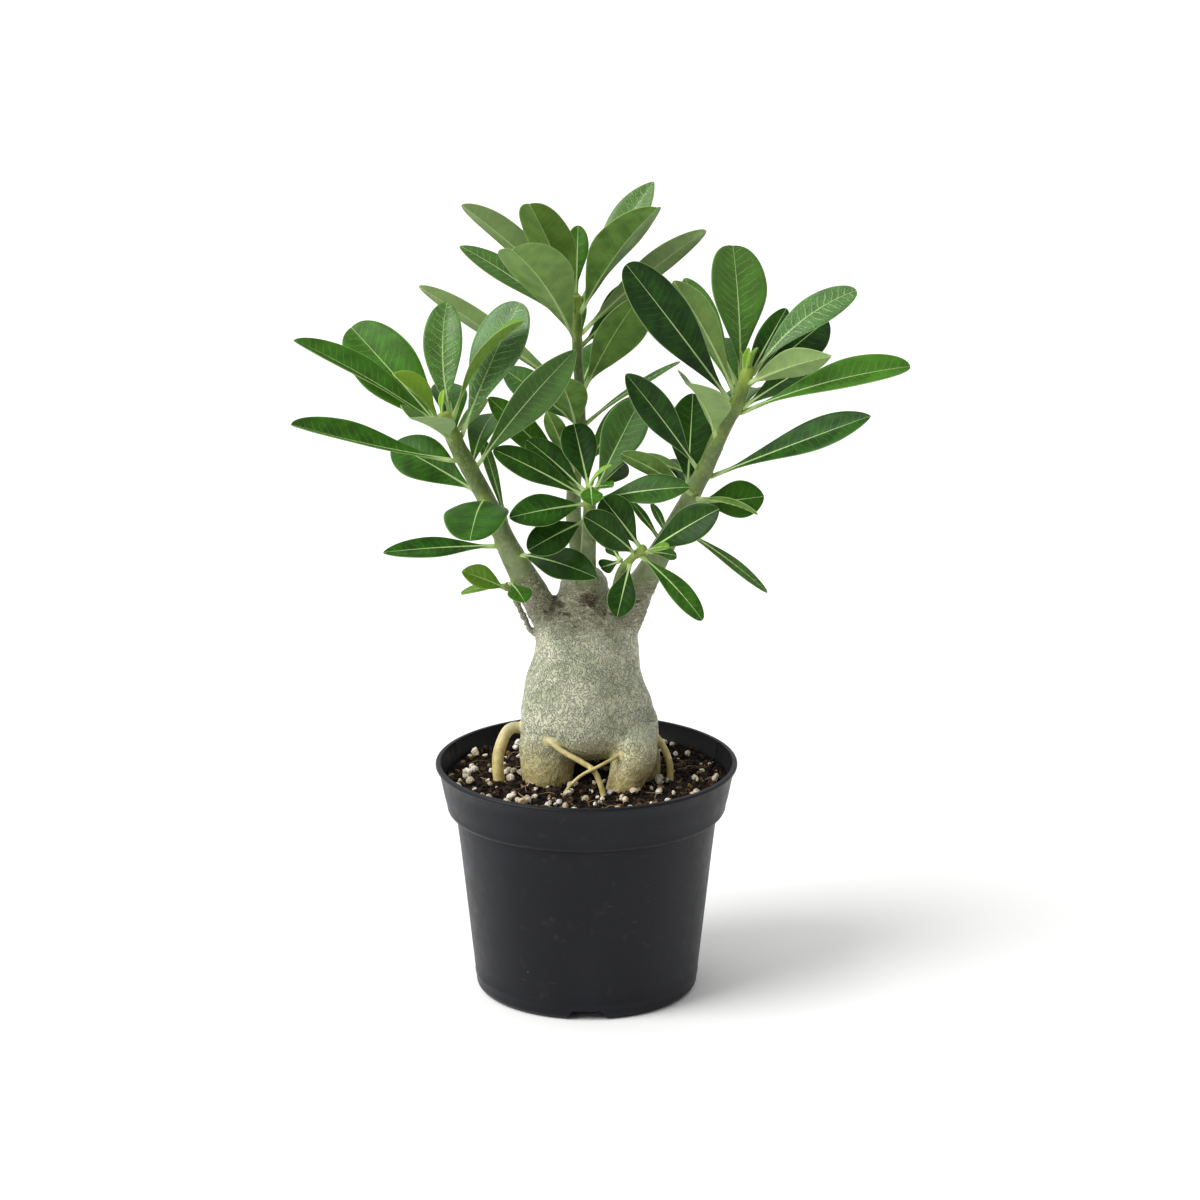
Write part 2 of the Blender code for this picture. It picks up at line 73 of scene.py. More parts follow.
# Thin surface roots, as x, y, z, radius
ROOTS = [
    [(-27, 9, 128, 3), (-33, 8, 131.5, 3), (-39, 5, 131, 3), (-43, 1, 123, 3), (-44, -2, 115, 3),
     (-42.5, -4, 101, 3)],
    [(-22, -8, 135, 1.8), (-18, -15, 132, 1.6), (-11, -20, 128, 1.5), (-2, -24, 124, 1.5),
     (4, -26, 120, 1.5), (8, -28, 110, 1.5), (8.5, -29, 103, 1.5)],
    [(22, -12, 128, 1.2), (16, -19, 126, 1.1), (7, -27, 123.5, 1), (-3, -29, 118.5, 1),
     (-10, -30, 111, 1), (-12, -30, 103, 1)],
    [(29, 5, 130, 2), (34, 2, 129, 1.9), (38, -2, 125, 1.8), (41, -5, 118, 1.8), (41.5, -6, 109, 1.8),
     (41, -6, 102, 1.8)],
]
# Stems, as x, y, z, radius from the foot to the tip
STEMS = {
    "stem_left": [(-18.5, 5.5, 188, 8), (-26.5, 3, 204, 7.3), (-35, 0, 220.5, 6.2), (-42, -3, 237, 4.8),
                  (-48.5, -5, 252.5, 4.4), (-62.5, -8, 280.5, 4.1), (-69.5, -8, 297, 3.4)],
    "stem_middle": [(-1, 10, 203, 4.6), (-3, 13, 216, 4.2), (-6.5, 18, 243, 3.8), (-3, 20, 286.5, 2.7),
                    (-4.5, 20, 325, 2.5), (-4.5, 20, 349, 2.1)],
    "stem_right": [(21, 5.5, 193, 8.6), (27, 3, 207, 7.3), (33.5, 0, 219.5, 6.2), (46, -5, 245, 4.6),
                   (57.5, -12, 270, 4.2), (66, -14, 290.5, 3.9), (74.5, -15, 308, 3.4),
                   (78.5, -14, 322, 2.4)],
    "shoot_centre": [(1, -3, 204, 4.2), (1, -7, 214, 4), (1, -12, 230, 3.8), (2, -18, 262, 2.7)],
    "shoot_front": [(10, -4, 186, 2.6), (12.5, -12, 200, 2.2), (14.5, -18, 212, 2.1), (18, -24, 224, 2),
                    (28.5, -30, 236, 1.7)],
    "shoot_left": [(-23.5, 4.5, 178, 1.6), (-28.4, 5, 184.5, 1.4), (-34, 5, 197, 1.3), (-39, 0, 208.5, 1.1)],
}
CORE_VOXEL = 1.4                # grid of the trunk's first skin, coarse enough to melt the legs into it
SKIN_VOXEL = 0.74               # grid of the finished skin; a finer one passes 200,000 triangles
STEM_FOOT = 0.24                # share of a stem that is blended into the crown
HIDDEN_ROWS = 3                 # rows of a stem that stay inside the crown
BODY_AXIS_Y = 7.0
# Torn scar on the crown and the smaller ones round it, as x, y, z, radius
CROWN_SCARS = [(1.5, -9, 203, 6.5), (-8, -16, 191, 2.2), (-15, -9, 194, 3.0), (17, -9, 194, 2.6),
               (20, -6, 201, 2.4)]
# Painted shade in the clefts where the stems part, as x, y, z, radius
CROWN_CLEFT_SHADES = [(-13.4, -4, 199, 2.6), (-15.5, -3, 203, 2.4), (-11, -6, 195.5, 2.2), (-20, -4, 195, 1.5),
                (12, -11, 197, 1.8), (25, -3, 200.5, 1.6), (14, -8, 203, 2.0)]
COLLAR_Z = 186.5                # height of the wrinkled collar where the crown sits on the body
CROWN_LOW, CROWN_HIGH = 184, 216  # heights between which the crown is crusted
STEM_GREEN_Z = 198              # height at which the stems start to turn green
LEG_TAN_Z = 134                 # height below which the legs turn tan
WELTS = 26                      # old branch collars, as short level welts around the crown
WELT_REACH = 22.5               # how far the welts lie from the body's axis
WELT_DEPTH = 0.86               # their ring's depth against its width
LEVEL_STRETCH = 2.6             # how many times longer than high a level welt or a patch of painted shade in the clefts is
HOLLOW_ROUNDS = 30              # rounds of smoothing that a hollow is measured against

# Small leaves without a solid of their own: foot, tip, width, the way the upper side faces, fold in
# degrees, bow, look
SMALL_LEAVES = {
    "young_left_shoot_1": ((-40, 2, 207), (-62, 8, 201), 5, (0, -0.6, 0.8), 20, 0.06, "fresh"),
    "young_left_shoot_2": ((-37, -2, 209), (-30, -20, 205), 12, (0.1, -0.7, 0.8), 8, 0.06, "mature"),
    "young_middle_1": ((-5, 22, 350), (-4, 38, 380), 11, (0, -1, 0.2), 12, 0.05, "mature"),
    "side_middle_1": ((-1, 21, 284), (46, 16, 317), 6, (0.1, -0.3, 0.9), 12, 0.03, "painted_sheen"),
    "side_middle_2": ((-7, 16, 257), (-48, 20, 298), 15, (0.2, -0.9, 0.3), 12, 0.05, "mature"),
    "side_middle_3": ((-7, 14, 263), (-19, 0, 296), 10, (0, 0.9, 0.3), 12, 0.05, "mature"),
    "side_middle_4": ((-2, 21, 262), (24, 24, 297), 13, (0, -1, 0.2), 10, 0.04, "painted_sheen"),
    "young_centre_1": ((2, -20, 265), (12.5, -22, 275), 3.5, (-0.3, -0.4, 0.8), 30, 0.1, "young"),
    "young_centre_2": ((2, -22, 264), (3, -40, 260), 11, (0, -0.4, 1), 12, 0.06, "mature"),
    "young_centre_3": ((4, -22, 263), (13, -32, 267), 9, (0, -0.4, 1), 12, 0.06, "mature"),
    "side_centre_1": ((6, -15, 262), (19, 8, 268), 12, (-0.1, -1, 0.3), 12, 0.05, "deep"),
    "young_front_1": ((31, -28, 233), (44, -18, 228), 6, (0, -0.8, 0.5), 12, 0.05, "mature"),
    "young_front_2": ((30, -33, 235), (40, -44, 240), 6, (0, -0.6, 0.8), 15, 0.05, "fresh"),
    "side_front_1": ((16, -20, 226), (7, -6, 219), 8, (0, -1, 0.1), 12, 0.05, "deep"),
    "side_front_2": ((16, -22, 228), (11, -12, 233), 7, (0, -1, 0.1), 12, 0.05, "deep"),
    "side_right_1": ((77, -16, 303), (111, -6, 322), 14, (0, -0.8, 0.6), 12, 0.05, "deep"),
    "side_right_2": ((55, -14, 256), (83, -32, 253), 8, (0, 0.7, 0.7), 20, 0.06, "mature"),
    "side_right_3": ((47, -3, 237), (89, 0, 204), 6, (0.4, -0.7, 0.4), 12, 0.06, "painted_sheen"),
    "side_right_4": ((54, -6, 264), (25, 28, 265), 9, (0, 0.9, 0.3), 12, 0.05, "mature"),
    "side_right_5": ((50, -14, 259), (17, -26, 282), 13, (0.3, 0.9, 0.3), 12, 0.05, "mature"),
    "side_right_6": ((76.5, -12, 312), (97, 2, 347), 13, (-0.1, -0.95, 0.3), 12, 0.05, "deep"),
    "side_right_7": ((37, 1, 229), (21.5, 18, 246), 4.5, (0.3, -0.9, 0.3), 15, 0.05, "mature"),
    "side_right_8": ((40, 0, 232), (32, 16, 245), 4.5, (0.3, -0.9, 0.3), 15, 0.05, "painted_sheen"),
    "side_left_1": ((-39, 0, 239), (-53, 22, 281), 6, (0.2, -0.9, 0.2), 12, 0.05, "painted_sheen"),
    "side_left_2": ((-65, -3, 284), (-48, 14, 298.6), 7, (0, 0.9, 0.3), 12, 0.05, "pale"),
    "bud_right_1": ((77, -15, 318), (78.5, -16, 332), 4.5, (-0.4, -0.9, 0.1), 35, 0.05, "young"),
    "bud_right_2": ((79, -14, 320), (83, -12, 331), 4, (-0.9, -0.3, 0.1), 40, 0.08, "fresh"),
    "bud_right_3": ((76, -13, 319), (74, -10, 329), 3.5, (0.9, -0.2, 0.1), 40, 0.08, "fresh"),
    "bud_left_1": ((-70, -7, 296), (-69, -4, 308), 4, (-0.6, -0.8, 0.1), 35, 0.06, "young"),
    "back_left_1": ((-64, -4, 284), (-70, 40, 300), 18, (0, 0.3, 1), 14, 0.1, "mature"),
    "back_left_2": ((-56, -4, 268), (-45, 38, 285), 17, (0, 0.3, 1), 14, 0.1, "mature"),
    "back_middle_1": ((-4, 22, 320), (-16, 62, 345), 20, (0, 0.5, 1), 14, 0.1, "mature"),
    "back_middle_2": ((-3, 22, 300), (14, 60, 318), 18, (0, 0.4, 1), 14, 0.1, "mature"),
    "back_middle_3": ((-5, 21, 270), (-12, 55, 270), 15, (0, 0.3, 1), 12, 0.1, "deep"),
    "back_right_1": ((72, -13, 303), (66, 32, 325), 20, (0, 0.4, 1), 14, 0.1, "mature"),
    "back_right_2": ((66, -12, 290), (84, 30, 300), 18, (0, 0.3, 1), 14, 0.1, "mature"),
    "back_right_3": ((50, -5, 254), (46, 36, 262), 15, (0, 0.3, 1), 12, 0.1, "deep"),
}
# Looks of a leaf: lightness, yellowness, grey painted sheen, how clearly its veins show, and its skin
LOOKS = {
    # in the deep and dusk looks the low lightness is partly painted shade, darkening leaves that lie in shade
    # inside the crown
    "deep": (0.42, 0.0, 0.0, 0.07, "satin"),
    "full": (0.7, 0.0, 0.0, 0.12, "satin"),
    "mature": (0.95, 0.05, 0.0, 0.16, "satin"),
    "painted_sheen": (0.85, 0.0, 0.25, 0.25, "satin"),
    "lively": (1.05, 0.12, 0.0, 0.9, "glossy"),
    "veined": (1.1, 0.0, 0.15, 1.0, "glossy"),
    "fresh": (1.15, 0.35, 0.0, 0.4, "satin"),
    "young": (1.3, 0.8, 0.0, 0.3, "satin"),
    "olive": (0.95, 0.3, 0.0, 0.25, "satin"),
    "silver": (1.05, 0.1, 0.15, 0.2, "satin"),
    "pale": (1.02, 0.12, 0.35, 0.25, "satin"),
    "dusk": (0.6, 0.0, 0.3, 0.15, "satin"),
    "soft": (1.1, 0.05, 0.15, 0.3, "satin"),
}
LEAVES_BY_LOOK = {
    "deep": "centre_shoot_01 centre_shoot_02 centre_shoot_03 centre_shoot_07 front_shoot_01 "
            "front_shoot_02 front_shoot_03 front_shoot_05 left_13 middle_08 right_01 right_06 "
            "right_11 right_12",
    "full": "centre_shoot_05 centre_shoot_06 front_shoot_04 left_11 left_12 right_09 right_13",
    "painted_sheen": "centre_shoot_04 middle_03 middle_11",
    "lively": "left_03 middle_06",
    "veined": "left_05 right_05",
    "fresh": "left_06 left_shoot_01",
    "young": "left_04",
    "olive": "middle_02",
    "silver": "middle_04 right_02",
    "pale": "left_07 middle_01 middle_07 middle_10 right_07 right_10",
    "dusk": "left_10",
    "soft": "right_03 right_04",
}
LEAF_LOOKS = {leaf: look for look, leaves in LEAVES_BY_LOOK.items() for leaf in leaves.split()}
# What a leaf has of its own: width against its solid's, how blunt its tip is, where it is broadest,
# the way its upper side faces, and its fold in degrees
LEAF_SHAPES = {
    "left_01": {"face": (0.1, -0.35, 0.95), "fold": 32, "blunt": 0.6},
    "left_02": {"widen": 1.12, "blunt": 0.42, "broadest": 0.62},
    "left_03": {"face": (0.05, -0.95, 0.35), "fold": 18, "blunt": 0.5, "broadest": 0.62},
    "left_04": {"fold": 38, "blunt": 0.8, "broadest": 0.62},
    "left_05": {"face": (-0.42, -0.8, 0.45), "fold": 10, "blunt": 0.45, "broadest": 0.68},
    "left_06": {"widen": 1.45, "blunt": 0.6, "broadest": 0.72},
    "left_08": {"face": (0, -0.3, 1), "fold": 30, "blunt": 0.55},
    "left_10": {"face": (0.2, -0.9, 0.1), "fold": 30, "blunt": 0.7, "broadest": 0.66},
    "left_11": {"blunt": 0.4, "broadest": 0.56},
    "middle_02": {"blunt": 0.42, "broadest": 0.62},
    "middle_04": {"face": (0, 0.6, 0.7), "fold": 24, "blunt": 0.45, "broadest": 0.64},
    "middle_05": {"fold": 24, "blunt": 0.55},
    "middle_06": {"widen": 0.85, "blunt": 0.8},
    "middle_09": {"fold": -20, "blunt": 0.55},
    "centre_shoot_03": {"blunt": 0.4, "broadest": 0.64},
    "centre_shoot_04": {"fold": 24, "blunt": 0.5},
    "front_shoot_01": {"blunt": 0.42},
    "front_shoot_02": {"blunt": 0.42},
    "right_01": {"blunt": 0.42, "broadest": 0.66, "fold": 14},
    "right_04": {"blunt": 0.4, "broadest": 0.68, "fold": 14},
    "right_05": {"face": (-0.3, -0.8, 0.5), "fold": 8, "widen": 0.85, "blunt": 0.5, "broadest": 0.66},
    "right_07": {"widen": 0.85, "blunt": 0.95, "broadest": 0.55},
    "right_08": {"blunt": 0.5, "broadest": 0.7, "fold": 26},
    "right_09": {"blunt": 0.7, "broadest": 0.68},
    "right_11": {"face": (0.1, -0.95, 0.3), "fold": 26, "blunt": 0.6},
}

# Nursery pot
LIP_BEAD = 1.1
BAND_TOP_RADIUS = 73.4
BAND_LOW_RADIUS = 69.3
BAND_LOW_Z = 92.0
BAND_ROUND = 2.8
WALL_TOP_RADIUS = 64.8
BASE_RADIUS = 55.2
BASE_ROUND = 4.0
WALL = 1.3
FLOOR = 1.4
POT_STEPS = 144
CHANNELS = 3
CHANNEL_FOOT = 21.0
CHANNEL_ROOF = 14.0
CHANNEL_HEIGHT = 5.0
CHANNEL_START = 26.0
DRAIN_RADIUS = 4.0
DRAIN_AT = 43.0

# Growing mix
SOIL_EDGE_GAP = 0.3
WALL_SLOPE = 0.2158             # how fast the band widens upwards
MIX_SIDES = [(62, 88), (52, 8)] # radius and height of the mix's hidden sides
GRAINS_SEED = 11

# Setting: a studio sun in the left front, and a camera in front and above
SUN_WAY = (-0.80, -0.42, 0.78)
SUN_ENERGY = 2.75
SUN_WIDTH = 38                  # degrees across, which softens the shadow
ROOM_STRENGTH = 0.9
FLOOR_REACH = 9.0               # metres from the middle to each edge
CAMERA_PLACE = (6.7, -2465.6, 942.0)
CAMERA_TILT = 73.256
CAMERA_LENS, CAMERA_SENSOR = 157.04, 36.0

# Root hairs on the mix
HAIRS = 30
HAIR_STEP = 2.0
HAIR_LIMIT = 67                 # no hair runs further out than this

# Leaf greens: shaded, lit, young, grey painted sheen, vein, midrib
UPPER_GREENS = ("#1E4C0A", "#306A12", "#7FA32A", "#74905C", "#98BE76", "#B9D48C")
LOWER_GREENS = ("#466A22", "#648A38", "#8AAA40", "#A0B084", "#9DB474", "#B4CA84")

# Node kinds used often
MATH, MIX, RANGE = "ShaderNodeMath", "ShaderNodeMix", "ShaderNodeMapRange"
NOISE, VORONOI, BUMP = "ShaderNodeTexNoise", "ShaderNodeTexVoronoi", "ShaderNodeBump"
ATTRIBUTE, SEPARATE = "ShaderNodeAttribute", "ShaderNodeSeparateXYZ"
EASED = {"interpolation_type": "SMOOTHSTEP"}
RGBA = {"output": 2, "data_type": "RGBA"}


def linear(colour):
    """Linear light for an sRGB hex colour."""
    channels = [int(colour[k:k + 2], 16) / 255 for k in (1, 3, 5)]
    return (*[c / 12.92 if c <= 0.04045 else ((c + 0.055) / 1.055) ** 2.4 for c in channels], 1.0)


def put(tree, kind, inputs=(), output=0, **settings):
    """Add a node with its settings and inputs, each a socket, a value or a hex colour; give an output."""
    made = tree.nodes.new(kind)
    for name, value in settings.items():
        setattr(made, name, value)
    for place, value in inputs.items() if isinstance(inputs, dict) else enumerate(inputs):
        if isinstance(value, bpy.types.NodeSocket):
            tree.links.new(value, made.inputs[place])
        else:
            made.inputs[place].default_value = linear(value) if str(value)[0] == "#" else value
    return made.outputs[output]


def new_material(name, roughness, ior, specular):
    """A Principled material, with its tree and its shader."""
    made = bpy.data.materials.new(name)
    made.use_nodes = True
    shader = made.node_tree.nodes["Principled BSDF"]
    shader.inputs["Roughness"].default_value = roughness
    shader.inputs["IOR"].default_value = ior
    shader.inputs["Specular IOR Level"].default_value = specular
    return made, made.node_tree, shader


def wire(tree, shader, colour, relief=None, depth=0.0, rough=None):
    """Join a material's colour, its relief with a depth in millimetres, and its roughness to its shader."""
    tree.links.new(colour, shader.inputs["Base Color"])
    if rough is not None:
        tree.links.new(rough, shader.inputs["Roughness"])
    if relief is not None:
        bump = put(tree, BUMP, {"Height": relief, "Distance": depth * MM}, "Normal")
        tree.links.new(bump, shader.inputs["Normal"])


def smooth_path(points, per_span):
    """Points on a smooth curve through the given points, radius included."""
    knots = np.array([points[0], *points, points[-1]], dtype=float)
    path = []
    for i in range(1, len(knots) - 2):
        before, start, end, after = knots[i - 1:i + 3]
        for k in range(per_span):
            t = k / per_span
            path.append(0.5 * (2 * start + (end - before) * t
                               + (2 * before - 5 * start + 4 * end - after) * t ** 2
                               + (3 * start - before - 3 * end + after) * t ** 3))
    path.append(knots[-2])
    return np.array(path)


def unit(vectors):
    """Vectors brought to length one."""
    return vectors / np.maximum(np.linalg.norm(vectors, axis=-1, keepdims=True), 1e-9)


def ring_faces(count, sides):
    """Faces that join each ring of points to the next one."""
    faces = []
    for i in range(count - 1):
        for k in range(sides):
            n = (k + 1) % sides
            faces.append((i * sides + k, i * sides + n, (i + 1) * sides + n, (i + 1) * sides + k))
    return faces


def loft_shape(rings):
    """Points and faces of a closed skin over rings of equal count, capped flat."""
    count, sides = rings.shape[:2]
    faces = ring_faces(count, sides)
    faces.append(tuple(range(sides))[::-1])
    faces.append(tuple((count - 1) * sides + k for k in range(sides)))
    return rings.reshape(-1, 3), faces


def tube_shape(path, sides=16):
    """A closed tube along a path of x, y, z, radius."""
    centres, radii = path[:, :3], path[:, 3]
    along = unit(np.gradient(centres, axis=0))
    across = unit(np.cross(along, (0.31, 0.95, 0.05)))
    up = np.cross(along, across)
    angles = np.linspace(0, math.tau, sides, endpoint=False)
    rings = (centres[:, None] + radii[:, None, None] * (np.cos(angles)[None, :, None] * across[:, None]
                                                        + np.sin(angles)[None, :, None] * up[:, None]))
    return loft_shape(rings)


def mesh_of(name, shapes):
    """One mesh in metres from shapes drawn in millimetres."""
    points, faces, start = [], [], 0
    for shape_points, shape_faces in shapes:
        points.append(np.asarray(shape_points))
        faces += [tuple(start + k for k in face) for face in shape_faces]
        start += len(shape_points)
    mesh = bpy.data.meshes.new(name)
    mesh.from_pydata((np.concatenate(points) * MM).tolist(), [], faces)
    bm = bmesh.new()
    bm.from_mesh(mesh)
    bmesh.ops.recalc_face_normals(bm, faces=bm.faces)
    bm.to_mesh(mesh)
    bm.free()
    return mesh


def add_object(name, mesh):
    """An object at the origin for a mesh."""
    obj = bpy.data.objects.new(name, mesh)
    bpy.context.scene.collection.objects.link(obj)
    return obj


def evaluated_mesh(obj):
    """The mesh an object shows with its modifiers applied."""
    graph = bpy.context.evaluated_depsgraph_get()
    return bpy.data.meshes.new_from_object(obj.evaluated_get(graph))


def discard(obj):
    """Remove a helper object."""
    bpy.data.objects.remove(obj, do_unlink=True)


def finish_piece(obj, slot, *nodes):
    """Tie a finished piece to the part: its body and the CAD nodes it stands for; the finish slot it is given
    is not used.
    """
    obj.data.shade_smooth()
    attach(obj, "root")
    if nodes:
        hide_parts(*nodes)


def set_colour_attribute(mesh, name, values):
    """Write one colour for each point of a mesh."""
    attribute = mesh.attributes.new(name, "FLOAT_COLOR", "POINT")
    rgba = np.ones((len(mesh.vertices), 4), np.float32)
    rgba[:, :values.shape[-1]] = values
    attribute.data.foreach_set("color", rgba.ravel())


def set_vector_attribute(mesh, name, values):
    """Write one vector for each point of a mesh."""
    attribute = mesh.attributes.new(name, "FLOAT_VECTOR", "POINT")
    attribute.data.foreach_set("vector", np.asarray(values, np.float32).ravel())


# ---------------------------------------------------------------- leaves

def merged_cad(node):
    """A CAD node's mesh with its loose triangles joined, in millimetres."""
    bm = bmesh.new()
    bm.from_mesh(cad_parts[node].data)
    bmesh.ops.remove_doubles(bm, verts=bm.verts, dist=0.02 * MM)
    bmesh.ops.scale(bm, vec=(1 / MM,) * 3, verts=bm.verts)
    return bm


def leaf_rings(bm):
    """The tip of a CAD leaf and its rings of points from the stem outwards."""
    for tip in bm.verts:
        seen, front, levels = {tip}, [tip], []
        while front:
            following = []
            for vert in front:
                for edge in vert.link_edges:
                    other = edge.other_vert(vert)
                    if other not in seen:
                        seen.add(other)
                        following.append(other)
            if following:
                levels.append(following)
            front = following
        if [len(level) for level in levels] == [6] * len(STATIONS):
            return tip.co.copy(), [[vert.co.copy() for vert in level] for level in reversed(levels)]
    raise ValueError("this node is not a leaf")


def ring_lines(ring):
    """The middles of a ring's two margins and of its midrib, and the midrib's thickness direction."""
    pairs = sorted(((ring[i] - ring[j]).length, i, j) for i in range(6) for j in range(i))
    _, a, b = pairs[0]
    _, c, d = next(p for p in pairs[1:] if not {p[1], p[2]} & {a, b})
    e, f = sorted(set(range(6)) - {a, b, c, d})
    return (ring[a] + ring[b]) / 2, (ring[c] + ring[d]) / 2, (ring[e] + ring[f]) / 2, ring[e] - ring[f]


def facing(foot, tip, face):
    """The direction square to a leaf's length that comes nearest to the way it faces."""
    heading = (tip - foot).normalized()
    return heading.cross(Vector(face)).normalized().cross(heading)


def leaf_plan(node):
    """What a CAD leaf and its own shape say of its blade."""
    bm = merged_cad(node)
    tip, rings = leaf_rings(bm)
    bm.free()
    lines = [ring_lines(ring) for ring in rings]
    seat = lines[0][2]
    bends = [(lines[k][2] - seat * (1 - s) ** 2 - tip * s ** 2) / (2 * s * (1 - s))
             for k, s in enumerate(STATIONS) if k in (2, 3, 4)]
    first, second, middle, top = lines[3]
    if ((first + second) / 2 - middle).dot(top) < 0:
        top = -top
    first, second, middle, _ = lines[4]
    one, two = first - middle, second - middle
    own = LEAF_SHAPES.get(node.removeprefix("leaf_"), {})
    if "face" in own:
        top = facing(seat, tip, own["face"])
    fold = 90 - 0.5 * math.degrees(one.angle(two))
    return {"seat": seat, "bend": sum(bends, Vector()) / len(bends), "tip": tip, "top": top.normalized(),
            "width": (one.length + two.length) * own.get("widen", 1), "fold": own.get("fold", fold)} | own


def small_plan(foot, tip, width, face, fold, bow):
    """The same facts for a small leaf that has no solid."""
    foot, tip = Vector(foot), Vector(tip)
    top = facing(foot, tip, face)
    bend = foot.lerp(tip, 0.5) + top * (2 * bow * (tip - foot).length)
    return {"seat": foot, "bend": bend, "tip": tip, "width": width, "top": top, "fold": fold}


def leaf_shape(plan, relief, dice):
    """Points, faces and surface coordinates of one finely modelled leaf."""
    seat, bend, tip, top_mid = (np.array(plan[k]) for k in ("seat", "bend", "tip", "top"))
    width, fold = plan["width"], math.radians(plan["fold"])
    blunt = plan.get("blunt", dice.uniform(0.5, 0.72))
    broadest = plan.get("broadest", dice.uniform(0.6, 0.67))
    s = 1 - (1 - np.linspace(0, 1, ROWS + 1)) ** 1.5
    s[-1] = 0.9993
    spine = (seat * ((1 - s) ** 2)[:, None] + bend * (2 * s * (1 - s))[:, None] + tip * (s ** 2)[:, None])
    along = unit((bend - seat) * (1 - s)[:, None] + (tip - bend) * s[:, None])
    side = unit(np.cross(along, top_mid))
    top = np.cross(side, along)
    reach = np.concatenate([[0], np.cumsum(np.linalg.norm(np.diff(spine, axis=0), axis=1))])
    bulge = np.maximum(np.sin(math.pi * s ** (math.log(0.5) / math.log(broadest))), 1e-4)
    half = 0.5 * width * bulge ** np.where(s < broadest, 0.9, blunt)
    half = np.maximum(half, 0.5 * PETIOLE_WIDTH * (1 - 0.4 * s) * np.clip((1 - s) / 0.02, 0, 1) ** 0.5)

    even = np.linspace(-1, 1, COLUMNS + 1)
    t = np.sign(even) * np.abs(even) ** 1.4
    ramp = np.clip(4 * s, 0, 1)[:, None]
    across = half[:, None] * t[None, :]
    crease = (np.sqrt(t ** 2 + 0.02) - math.sqrt(0.02)) / (math.sqrt(1.02) - math.sqrt(0.02))
    lift = half[:, None] * math.sin(fold) * ramp * crease[None, :]
    lift = lift - 0.07 * half[:, None] * np.abs(t[None, :]) ** 4
    waves = dice.uniform(1.0, 1.8)
    for sign in (-1, 1):
        phase = dice.uniform(0, math.tau)
        edge = np.clip(sign * t, 0, 1) ** 1.6
        sway = 0.025 * width * np.sin(math.tau * waves * s + phase) * np.sin(math.pi * s)
        lift = lift + sway[:, None] * edge[None, :]
    vein = reach[:, None] - 0.55 * np.abs(across) - 0.012 * across ** 2 + 0.5 * VEIN_SPACING * (across > 0)
    quilt = np.cos(math.tau * vein / VEIN_SPACING) * (1 - t[None, :] ** 2) * np.sin(math.pi * s)[:, None]
    spots = (spine[:, None] + side[:, None] * (across * math.cos(fold))[..., None]
             + top[:, None] * (lift - (0.04 + 0.08 * relief) * quilt)[..., None])

    slope_along = np.gradient(spots, axis=0)
    slope_across = np.gradient(spots, axis=1)
    normal = unit(np.cross(slope_across, slope_along))
    stout = np.exp(-(s / 0.12) ** 2)[:, None]
    body = EDGE_THICKNESS + (0.35 + 0.9 * stout) * np.exp(-(across / 1.3) ** 2)
    body = body * np.clip((1 - s) / 0.03, 0.25, 1)[:, None]
    keel = (0.5 * (1 - 0.7 * s) + 0.3 * stout[:, 0])[:, None] * np.exp(-(across / 0.75) ** 2)
    groove = 0.12 * (1 - s)[:, None] * np.exp(-(across / 0.6) ** 2)
    upper = spots + normal * (0.5 * body - groove)[..., None]
    lower = spots - normal * (0.5 * body + keel)[..., None]
    rim = 0.4 * EDGE_THICKNESS * unit(slope_across[:, [0, -1]])
    left_rim, right_rim = spots[:, :1] - rim[:, :1], spots[:, -1:] + rim[:, 1:]
    rings = np.concatenate([upper, right_rim, lower[:, ::-1], left_rim], axis=1)
    rings[0] -= along[0] * SINK
    loop_t = np.concatenate([t, [1.0], t[::-1], [-1.0]])
    count = rings.shape[1]
    points = np.concatenate([rings.reshape(-1, 3), tip[None]])
    faces = ring_faces(ROWS + 1, count)
    last = ROWS * count
    faces += [(last + k, last + (k + 1) % count, last + count) for k in range(count)]
    kinds = [int(k >= COLUMNS) for _ in range(ROWS + 1) for k in range(count)] + [1]
    faces.append(tuple(range(count))[::-1])
    shape = (ROWS + 1, count)
    blade = np.stack([np.broadcast_to(loop_t, shape), np.broadcast_to(s[:, None], shape),
                      np.zeros(shape)], axis=-1)
    measure = np.stack([half[:, None] * loop_t[None, :], np.broadcast_to(reach[:, None], shape),
                        np.full(shape, dice.uniform(0, 50))], axis=-1)
    blade = np.concatenate([blade.reshape(-1, 3), [(0, 1, 0)]])
    measure = np.concatenate([measure.reshape(-1, 3), [(0, reach[-1], measure[0, 0, 2])]])
    return points, faces, kinds, blade, measure


def make_leaf(name, plan, look, *nodes):
    """One leaf with an upper side, an underside and a rounded margin."""
    dice = random.Random(name)
    lightness, yellow, grey, veins, skin = LOOKS[look]
    points, faces, kinds, blade, measure = leaf_shape(plan, veins, dice)
    mesh = bpy.data.meshes.new(name)
    mesh.from_pydata((points * MM).tolist(), [], faces)
    mesh.materials.append(leaf_skins[skin])
    mesh.materials.append(leaf_skins["underside"])
    mesh.polygons.foreach_set("material_index", kinds)
    set_vector_attribute(mesh, "blade", blade)
    set_vector_attribute(mesh, "blade_mm", measure)
    tone = (lightness * dice.uniform(0.88, 1.12), yellow + dice.uniform(0, 0.08), grey, veins)
    set_colour_attribute(mesh, "tone", np.tile(np.array(tone), (len(points), 1)))
    finish_piece(add_object(name, mesh), "leaf_green", *nodes)


